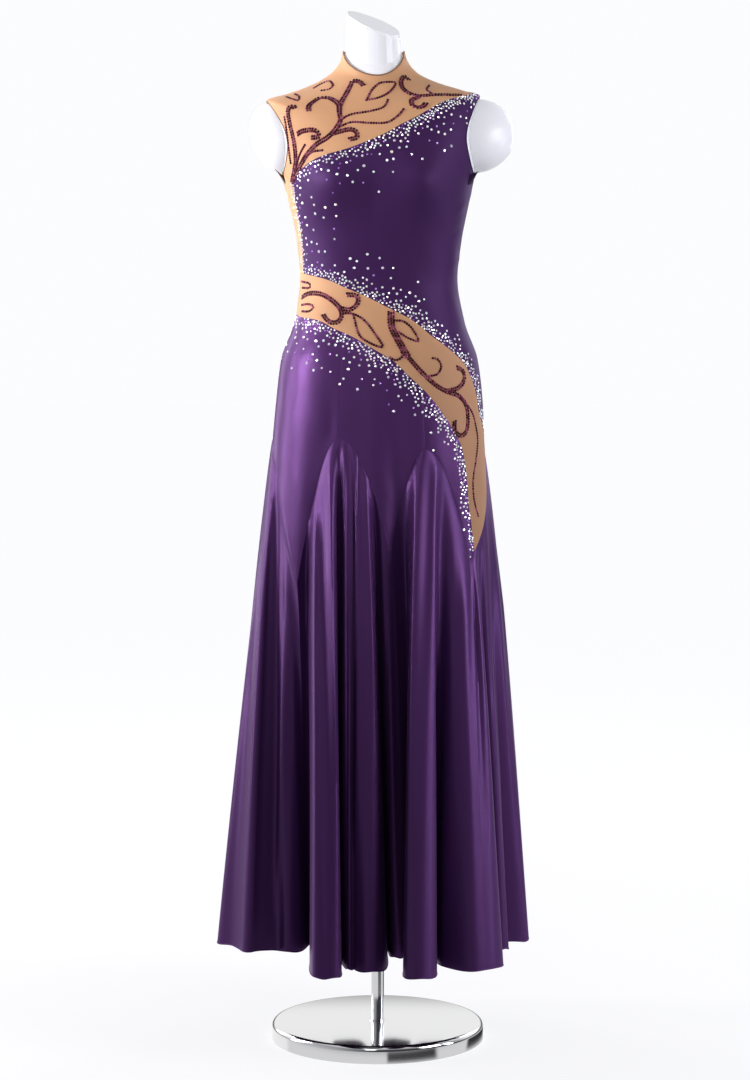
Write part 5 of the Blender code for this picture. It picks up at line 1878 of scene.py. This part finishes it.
@dataclass
class Crystals:
    """Aurora crystals, thick along the edges of the satin and thinner away from them."""

    seed: int = 41
    angles: Pair = (-100.0, 280.0)
    paths: Pair = (0.79, 1.535)
    packed_number: float = 110000.0  # a square metre, at a border
    thin_number: float = 22000.0  # a square metre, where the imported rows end
    smallest: float = 0.0013
    largest: float = 0.0025
    closeness: float = 1.02
    seam_clearance: float = 0.0012
    violet_share: float = 0.14
    side_overlap_deg: float = 5.0
    fading: float = 1.4  # how soon the thin stones give out
    step: float = 0.0015
    spare: float = 1.25  # trial places for each one that the widest part of the body can hold
    grow_base: float = 0.3
    grow_away: float = 0.35
    least_share: float = 0.35  # of a stone's full growth
    loose_from: float = 0.7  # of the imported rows' width, from where the stones keep more room
    loosening: float = 0.6
    loosest: float = 1.6
    arch_clearance: float = 0.002
    hole_extra: Pair = (1.0, 0.006)  # in angle and path, round the armhole
    violet_size: float = 0.8

    def measured(self, where: Points) -> tuple[Points, Points, Points]:
        """Measures places against the nearest border, in front or at the back.

        Args:
            where: the places, as points of the body.

        Returns:
            Distances from the border, and its packed width and thinning reach there.
        """
        rows = []
        backs = [(mirrored(line), widths) for line, widths in BORDER_WIDTHS]
        for line, widths in (*BORDER_WIDTHS, *backs):
            points = BODY.points(*line.T)
            run = np.concatenate([[0.0], np.cumsum(np.linalg.norm(np.diff(points, axis=0), axis=1))])
            stops = np.arange(0, run[-1], self.step)
            along = [np.interp(stops, run, points[:, k]) for k in range(3)]
            shares = np.linspace(0, 1, len(widths))
            along += [np.interp(stops / run[-1], shares, column) for column in zip(*widths)]
            rows.append(np.column_stack(along))
        table = np.vstack(rows)
        tree = KDTree(len(table))
        for index, row in enumerate(table):
            tree.insert(row[:3], index)
        tree.balance()
        found = [tree.find(point) for point in where]
        nearest = np.array([index for _, index, _ in found])
        return np.array([distance for *_, distance in found]), table[nearest, 3], table[nearest, 4]

    def on_satin(self, at: Points) -> Points:
        """Which places lie on satin, clear of the mesh, the armholes and the godets.

        Args:
            at: angles and paths.

        Returns:
            True for each place on satin.
        """
        front = np.where(at[:, 0] > 90, 180 - at[:, 0], at[:, 0])
        front = np.where(front < LEFT_SIDE, 2 * LEFT_SIDE - front, front)
        path = at[:, 1]
        seam = np.interp(front, YOKE_SEAM[:, 0], YOKE_SEAM[:, 1])
        top = np.interp(front, BAND_TOP[:, 0], BAND_TOP[:, 1])
        foot_line = BAND_FOOT[np.argsort(BAND_FOOT[:, 0])]
        foot = np.interp(front, foot_line[:, 0], foot_line[:, 1])
        side = np.interp(path, SIDE_EDGE[::-1, 1], SIDE_EDGE[::-1, 0])
        bodice = (path > top) & (path < seam) & (front > side - self.side_overlap_deg)
        arch = np.array([SKIRT.seam_height(angle) for angle in at[:, 0]])
        hips = (path < foot) & (path > arch + self.arch_clearance) & (front < foot_line[-1, 0])
        hole = ((front - RIGHT_SIDE) / (ARMHOLE_FRONT_DEG + self.hole_extra[0])) ** 2
        middle, height = (ARMHOLE_TOP + ARMHOLE_BOTTOM) / 2, ARMHOLE_TOP - ARMHOLE_BOTTOM + self.hole_extra[1]
        hole += ((path - middle) / height * 2) ** 2
        return (bodice & (hole > 1)) | hips

    def scattered(self, rng: np.random.Generator) -> tuple[Points, Points]:
        """Trial places, as many as the crystals lie thick there, and how far each lies from a border.

        Args:
            rng: the source of the draws.

        Returns:
            Angles and paths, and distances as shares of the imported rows' width.
        """
        widest = METRES_PER_DEGREE * self.spare
        count = int((self.angles[1] - self.angles[0]) * METRES_PER_DEGREE * self.spare * self.packed_number)
        at = np.column_stack([rng.uniform(*self.angles, count), rng.uniform(*self.paths, count)])
        at = at[self.on_satin(at)]
        _, across, up = BODY.frame(*at.T)
        away, packed, reach = self.measured(BODY.points(*at.T))
        number = self.packed_number * np.exp(-((away / packed) ** 3))
        number += self.thin_number * np.exp(-((away / reach) ** self.fading))
        share = number / self.packed_number * across * up / widest
        keep = (rng.uniform(0, 1, len(at)) < share) & (away > self.seam_clearance)
        return at[keep], away[keep] / packed[keep]

    def build(self) -> None:
        """Scatters the crystals, drops those that would overlap, and sets them."""
        rng = np.random.default_rng(self.seed)
        at, away = self.scattered(rng)
        grow = np.clip(self.grow_base + self.grow_away * away, 0, 1)
        grow = grow * rng.uniform(self.least_share, 1.0, len(at))
        radii = self.smallest + (self.largest - self.smallest) * grow
        where = BODY.points(*at.T)
        cells: dict[tuple[int, ...], list[int]] = {}
        chosen = []
        for index in rng.permutation(len(at)):
            cell = tuple((where[index] // (3 * self.largest)).astype(int))
            beside = product(*((i - 1, i, i + 1) for i in cell))
            near = [other for place in beside for other in cells.get(place, ())]
            loose = min(self.loosening * max(away[index] - self.loose_from, 0.0), self.loosest)
            room = (radii[near] + radii[index]) * (self.closeness + loose)
            if near and (np.linalg.norm(where[near] - where[index], axis=1) < room).any():
                continue
            cells.setdefault(cell, []).append(index)
            chosen.append(index)
        at, radii = at[chosen], radii[chosen]
        violet = rng.uniform(0, 1, len(at)) < self.violet_share
        clear = Studs("crystals_aurora", CRYSTAL, 8, CUT_STONE, AURORA, True, self.seed + 1)
        clear.set_at(at[~violet], radii[~violet])
        purple = Studs("crystals_violet", CRYSTAL, 8, CUT_STONE, VIOLET, True, self.seed + 2)
        purple.set_at(at[violet], radii[violet] * self.violet_size)


# The scrollwork's beaded lines: how many beads wide, then an angle and a path for each place passed.
YOKE_SCROLL: tuple[tuple[float, ...], ...] = (
    (2, -63, 1.378, -53, 1.409, -50, 1.443, -51, 1.477, -51, 1.501, -48, 1.517, -45, 1.511),
    (2, -46, 1.46, -42, 1.467, -36, 1.472, -33, 1.47, -32, 1.46, -37, 1.455),
    (2, -62, 1.379, -51, 1.399, -42, 1.422, -34, 1.443, -27, 1.459, -22, 1.48, -19, 1.509, -25, 1.549,
     -35, 1.566, -42, 1.56, -41, 1.538, -36, 1.512),
    (2, -24, 1.549, -29, 1.593, -33, 1.62, -35, 1.636, -26, 1.64, -17, 1.628),
    (2, -25, 1.467, -19, 1.476, -14, 1.482, -11, 1.476, -11, 1.463, -15, 1.457),
    (1, -19, 1.501, -13, 1.523, -4, 1.537, 4, 1.552, 9, 1.583),
    (1, -20, 1.485, -13, 1.499, -4, 1.499, 5, 1.5, 10, 1.512, 17, 1.542),
    (1, -9, 1.579, -6, 1.62, 6, 1.645, 28, 1.636, 17, 1.614, 2, 1.592, -9, 1.579),
    (2, 51, 1.627, 51, 1.64, 41, 1.637, 32, 1.617, 31, 1.594, 36, 1.576, 45, 1.566, 54, 1.551, 63, 1.536),
    (2, 34, 1.573, 26, 1.566, 23, 1.544, 27, 1.535, 33, 1.547),
    (1, 46, 1.571, 50, 1.589, 62, 1.597),
    (1, -66, 1.584, -69, 1.601, -64, 1.613, -52, 1.608, -49, 1.595, -53, 1.584),
    (1, -67, 1.538, -57, 1.537, -52, 1.538, -59, 1.549, -69, 1.552),
    (1, -42, 1.44, -48, 1.42, -53, 1.401),
    (1, -31, 1.431, -38, 1.427, -46, 1.412),
    (1, -55, 1.488, -55, 1.457, -56, 1.431, -58, 1.406),
)
BAND_SCROLL: tuple[tuple[float, ...], ...] = (
    (1, -74, 1.224, -59, 1.221, -58, 1.214, -72, 1.214),
    (2, -70, 1.199, -57, 1.205, -44, 1.204, -34, 1.195, -27, 1.182, -25, 1.17, -28, 1.16, -34, 1.161,
     -40, 1.173),
    (2, -27, 1.182, -19, 1.18, -14, 1.19, -15, 1.201, -23, 1.203),
    (1, -67, 1.187, -56, 1.188, -50, 1.184, -54, 1.177, -65, 1.177),
    (1, -24, 1.174, -17, 1.173, -9, 1.163, -2, 1.143, 3, 1.122, -5, 1.128, -12, 1.141, -17, 1.173),
    (3, 9, 1.176, 9, 1.154, 13, 1.129, 17, 1.107),
    (2, 17, 1.107, 24, 1.084, 32, 1.063, 39, 1.052, 48, 1.044, 54, 1.028, 55, 1.006, 53, 0.988, 48, 0.982,
     44, 0.99, 44, 1.007),
    (1, 11, 1.163, 17, 1.161, 22, 1.15, 25, 1.131, 19, 1.135, 13, 1.145),
    (2, 39, 1.052, 48, 1.057, 54, 1.071, 53, 1.084, 48, 1.089),
    (1, 29, 1.076, 34, 1.079, 37, 1.091, 35, 1.102, 32, 1.104),
    (1, 13, 1.121, 14, 1.107, 10, 1.101, 6, 1.107),
    (1, 48, 1.044, 59, 1.02, 64, 0.996, 66, 0.972, 62, 0.941, 58, 0.911, 58, 0.88, 62, 0.852),
)


@dataclass
class Scrollwork:
    """Scrolling stems, curls and open leaves in rows of plum beads, on the mesh in front and at the back."""

    pitch: float = 0.0041
    radius: float = 0.0023
    row_gap: float = 0.0041
    samples: int = 400

    def beads(self, rows: int, passed: Points) -> Points:
        """The place of each bead of a line.

        Args:
            rows: how many beads wide the line is.
            passed: the places that it passes.

        Returns:
            Angles and paths.
        """
        line = spline_through(passed, self.samples)
        _, across, up = BODY.frame(*line.T)
        scale = np.column_stack([across, up])
        step = np.linalg.norm(np.diff(line, axis=0) * scale[1:], axis=1)
        run = np.concatenate([[0.0], np.cumsum(step)])
        slopes = unit(np.gradient(line, axis=0) * scale)
        aside = np.column_stack([-slopes[:, 1], slopes[:, 0]]) / scale
        found = []
        for row in range(rows):
            off = (row - (rows - 1) / 2) * self.row_gap
            stops = np.arange(0.5 * (row % 2) * self.pitch, run[-1], self.pitch)
            shifted = line + off * aside
            found.append(np.column_stack([np.interp(stops, run, shifted[:, k]) for k in (0, 1)]))
        return np.vstack(found)

    def build(self) -> None:
        """Beads the yoke and the band."""
        for name, strokes, seed in (("yoke", YOKE_SCROLL, 7), ("band", BAND_SCROLL, 8)):
            fronts = [self.beads(width, np.reshape(passed, (-1, 2))) for width, *passed in strokes]
            at = np.vstack([line for front in fronts for line in (front, mirrored(front))])
            studs = Studs(f"beads_{name}", SEQUIN, 6, DOMED_BEAD, PLUM, False, seed, tilt=0.16)
            studs.set_at(at, np.full(len(at), self.radius))


# ---- form and stand


@dataclass
class DressForm:
    """The limbless form under the dress. Its solids are right as they are, and only get their finish."""

    caps: tuple[str, ...] = ("shoulder_cap_left", "shoulder_cap_right")
    merge: float = 0.00001
    levels: int = 2

    def build(self) -> None:
        """Lacquers the torso and neck, and makes each shoulder cap again with more facets."""
        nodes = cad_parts
        for name, finish in (("dress_form", FORM_WHITE), ("neck_cap", CAP_WHITE)):
            mesh = nodes[name].data
            mesh.materials.clear()
            mesh.materials.append(finish.material())
            mesh.shade_smooth()
        for name in self.caps:
            bm = bmesh.new()
            bm.from_mesh(nodes[name].data)
            bmesh.ops.remove_doubles(bm, verts=bm.verts, dist=self.merge)
            mesh = bpy.data.meshes.new(f"{name}_smooth")
            bm.to_mesh(mesh)
            bm.free()
            cap = finished(mesh, FORM_WHITE)
            smoothing = cap.modifiers.new("smoothing", "SUBSURF")
            smoothing.levels = smoothing.render_levels = self.levels
            bpy.ops.object.select_all(action="DESELECT")
            bpy.context.view_layer.objects.active = cap
            bpy.ops.object.modifier_apply(modifier=smoothing.name)
            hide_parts(name)
            log.info("%s", cap.name)


@dataclass
class Stand:
    """The round chrome base with its fat rim, the pole, and the washer round the pole's foot."""

    base_radius: float = 0.172
    base_height: float = 0.027
    top_round: float = 0.008
    foot_round: float = 0.0115
    pole_radius: float = 0.0105
    pole_foot: float = 0.0273
    pole_top: float = 0.8677
    washer_radius: float = 0.0128
    washer_height: float = 0.0022
    washer_round: float = 0.0006
    sides: int = 160
    pole_sides: int = 64
    smooth_deg: float = 35.0

    def cylinder(self, name: str, radius: float, foot: float, top: float, sides: int) -> Piece:
        """A primitive cylinder on the axis, which is then the active object.

        Args:
            name: the piece's name.
            radius: its radius.
            foot: the height of its underside.
            top: the height of its top.
            sides: how many sides it has.

        Returns:
            The new piece.
        """
        bpy.ops.object.select_all(action="DESELECT")
        bpy.ops.mesh.primitive_cylinder_add(
            vertices=sides, radius=radius, depth=top - foot, location=(0, 0, (foot + top) / 2)
        )
        piece = bpy.context.active_object
        piece.name = piece.data.name = name
        return piece

    def rounded(self, piece: Piece, height: float, width: float, segments: int) -> None:
        """Bevels the piece's round edge that lies at this height above its middle.

        Args:
            piece: a cylinder.
            height: the edge's height above the middle.
            width: how far the bevel reaches.
            segments: how many steps it has.
        """
        bpy.ops.object.mode_set(mode="EDIT")
        bpy.ops.mesh.select_all(action="DESELECT")
        bm = bmesh.from_edit_mesh(piece.data)
        for edge in bm.edges:
            edge.select_set(all(abs(vert.co.z - height) < 1e-5 for vert in edge.verts))
        bmesh.update_edit_mesh(piece.data)
        bpy.ops.mesh.bevel(offset=width, segments=segments, profile=0.5, clamp_overlap=True)
        bpy.ops.object.mode_set(mode="OBJECT")

    def done(self, piece: Piece, node: str | None = None) -> None:
        """Applies the piece's place, shades it and dresses it in chrome.

        Args:
            piece: the piece.
            node: the solid that it stands for, if any.
        """
        bpy.ops.object.transform_apply(location=True, rotation=True, scale=True)
        bpy.ops.object.shade_smooth_by_angle(angle=math.radians(self.smooth_deg))
        dressed(piece, CHROME)
        if node:
            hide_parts(node)
        log.info("%s", piece.name)

    def build(self) -> None:
        """Makes the base, the pole and the washer."""
        base = self.cylinder("stand_base", self.base_radius, 0.0, self.base_height, self.sides)
        self.rounded(base, self.base_height / 2, self.top_round, 8)
        self.rounded(base, -self.base_height / 2, self.foot_round, 10)
        self.done(base, "base_disc")
        pole = self.cylinder("stand_pole", self.pole_radius, self.pole_foot, self.pole_top, self.pole_sides)
        self.done(pole, "pole")
        low, high = self.base_height, self.base_height + self.washer_height
        washer = self.cylinder("stand_washer", self.washer_radius, low, high, self.pole_sides)
        self.rounded(washer, self.washer_height / 2, self.washer_round, 3)
        self.done(washer)


# ---- the studio


class SoftBox(NamedTuple):
    """A studio light: its place, what it points at, its size, power and colour, and how wide it spreads."""

    place: Triple
    aim: Triple
    size: Pair
    power: float
    colour: Triple
    spread_deg: float = 180.0


@dataclass
class Studio:
    """A plain white sweep, soft boxes and the camera."""

    camera_place: Triple = (-0.004, -4.5, 1.18)
    camera_drop_deg: float = 4.69
    focal_px: float = 2812.0
    frame_px: float = 1080.0
    sensor_mm: float = 36.0
    floor_size: float = 60.0
    backdrop: Colour = (0.975, 0.978, 0.99, 1.0)
    ambient: Colour = (0.14, 0.13, 0.16, 1.0)
    flag_colour: Colour = (0.02, 0.02, 0.025, 1.0)
    lights: tuple[SoftBox, ...] = (
        SoftBox((-3.0, 0.42, 1.5), (0, 0, 0.9), (0.6, 2.4), 60, (1.0, 0.95, 1.0)),
        SoftBox((2.95, -1.6, 1.9), (0, 0, 0.55), (1.3, 1.4), 13, (1.0, 0.98, 1.0), 80),
        SoftBox((-3.0, -1.0, 1.8), (0, 0, 1.4), (1.6, 0.9), 5.2, (1.0, 0.97, 1.0), 22),
        SoftBox((2.9, -0.4, 1.0), (0, 0, 0.6), (0.4, 1.6), 4, (0.8, 0.84, 1.0), 90),
        SoftBox((-0.5, -3.6, 2.8), (0, 0, 1.5), (0.8, 0.8), 2.2, (1.0, 1.0, 1.0), 60),
        SoftBox((-1.9, 1.8, 1.6), (0, 0, 1.0), (0.8, 2.4), 20, (1.0, 0.97, 1.0)),
        SoftBox((1.8, 2.2, 1.8), (0, 0, 0.9), (0.8, 1.8), 16, (0.9, 0.92, 1.0)),
    )

    def light(self, index: int, box: SoftBox) -> None:
        """Hangs one soft box.

        Args:
            index: its number.
            box: the soft box.
        """
        data = bpy.data.lights.new(f"soft_box_{index}", "AREA")
        data.shape = "RECTANGLE"
        data.size, data.size_y = box.size
        data.energy, data.color = box.power, box.colour
        data.spread = math.radians(box.spread_deg)
        lamp = bpy.data.objects.new(data.name, data)
        lamp.location = box.place
        lamp.rotation_euler = (Vector(box.aim) - Vector(box.place)).to_track_quat("-Z", "Y").to_euler()
        bpy.context.scene.collection.objects.link(lamp)

    def world(self) -> None:
        """White to the camera, a dim ambient on the object, and a bright back wall in its reflections."""
        world = bpy.data.worlds.new("studio")
        world.use_nodes = True
        bpy.context.scene.world = world
        graph = Graph(world.node_tree, "Background")
        way = graph.node("TexCoord", output="Generated")
        right, away, up = (graph.node("SeparateXYZ", None, way, output=axis) for axis in ("X", "Y", "Z"))
        wall = graph.node("ValToRGB", {"stops": BACK_WALL}, away * 0.5 + 0.5)
        at_eyes = graph.node("ValToRGB", {"stops": EYE_LEVEL}, up * 0.5 + 0.5)
        wall = graph.mix(1.0, wall, at_eyes, "MULTIPLY")
        window = graph.node("ValToRGB", {"stops": LEFT_WINDOW}, right * 0.5 + 0.5)
        ground = graph.node("ValToRGB", {"stops": GROUND}, up * 0.5 + 0.5)
        reflected = graph.mix(1.0, graph.mix(1.0, wall, window, "LIGHTEN"), ground, "LIGHTEN")
        flag = graph.node("ValToRGB", {"stops": FLAG_ACROSS}, right * 0.5 + 0.5)
        flag = flag * graph.node("ValToRGB", {"stops": FLAG_UP}, up * 0.5 + 0.5)
        reflected = graph.mix(flag, reflected, self.flag_colour)
        glossy = graph.node("LightPath", output="Is Glossy Ray")
        seen = graph.node("LightPath", output="Is Camera Ray")
        graph.set(Color=graph.mix(seen, graph.mix(glossy, self.ambient, reflected), self.backdrop))

    def floor(self) -> None:
        """Lays the paper sweep, which keeps its own light to itself."""
        bpy.ops.object.select_all(action="DESELECT")
        bpy.ops.mesh.primitive_plane_add(size=self.floor_size, location=(0, 0, 0))
        sweep = bpy.context.active_object
        sweep.name = "studio_floor"
        sweep.data.materials.append(SWEEP.material())
        sweep.visible_diffuse = sweep.visible_glossy = False

    def camera(self) -> None:
        """Sets up the camera."""
        data = bpy.data.cameras.new("camera")
        data.sensor_width = self.sensor_mm
        data.lens = self.focal_px / self.frame_px * self.sensor_mm
        camera = bpy.data.objects.new("camera", data)
        camera.location = self.camera_place
        camera.rotation_euler = (math.radians(90 - self.camera_drop_deg), 0, 0)
        bpy.context.scene.collection.objects.link(camera)
        bpy.context.scene.camera = camera

    def build(self) -> None:
        """Sets up the whole studio."""
        bpy.context.scene.view_settings.view_transform = "Standard"
        self.camera()
        self.world()
        self.floor()
        for index, box in enumerate(self.lights):
            self.light(index, box)


def greys(*stops: Pair) -> tuple[tuple[float, Colour], ...]:
    """A ramp's stops from (place, tone) pairs."""
    return tuple((place, (tone, tone, tone, 1.0)) for place, tone in stops)


# What reflections see: places run from front to back, from left to right, and from below to above.
BACK_WALL = ((0.42, (0.05, 0.05, 0.06, 1)), (0.58, (0.4, 0.4, 0.43, 1)), (0.72, (1.0, 1.0, 1.0, 1)))
GROUND = (
    (0.4, (0.8, 0.8, 0.82, 1)),
    (0.47, (0.03, 0.03, 0.04, 1)),
    (0.75, (0.05, 0.05, 0.06, 1)),
    (0.95, (0.7, 0.7, 0.72, 1)),
)
FLAG_ACROSS = greys((0.58, 0.0), (0.595, 1.0), (0.94, 1.0), (0.955, 0.0))
FLAG_UP = greys((0.3742, 0.0), (0.3758, 1.0), (0.41, 1.0), (0.43, 0.0))
EYE_LEVEL = greys((0.44, 1.0), (0.47, 0.15), (0.55, 0.15), (0.6, 1.0))
LEFT_WINDOW = ((0.0, (0.6, 0.6, 0.62, 1)), (0.3, (0.22, 0.22, 0.24, 1)), (0.5, (0.03, 0.03, 0.04, 1)))


def main() -> None:
    """Builds the piece groups in order."""
    logging.basicConfig(level=logging.INFO, format="%(message)s")
    for part in (Studio(), DressForm(), Stand(), Panels(), Godets(), Edges(), Scrollwork(), Crystals()):
        log.info("-- %s", type(part).__name__)
        part.build()


if __name__ == "__main__":
    main()
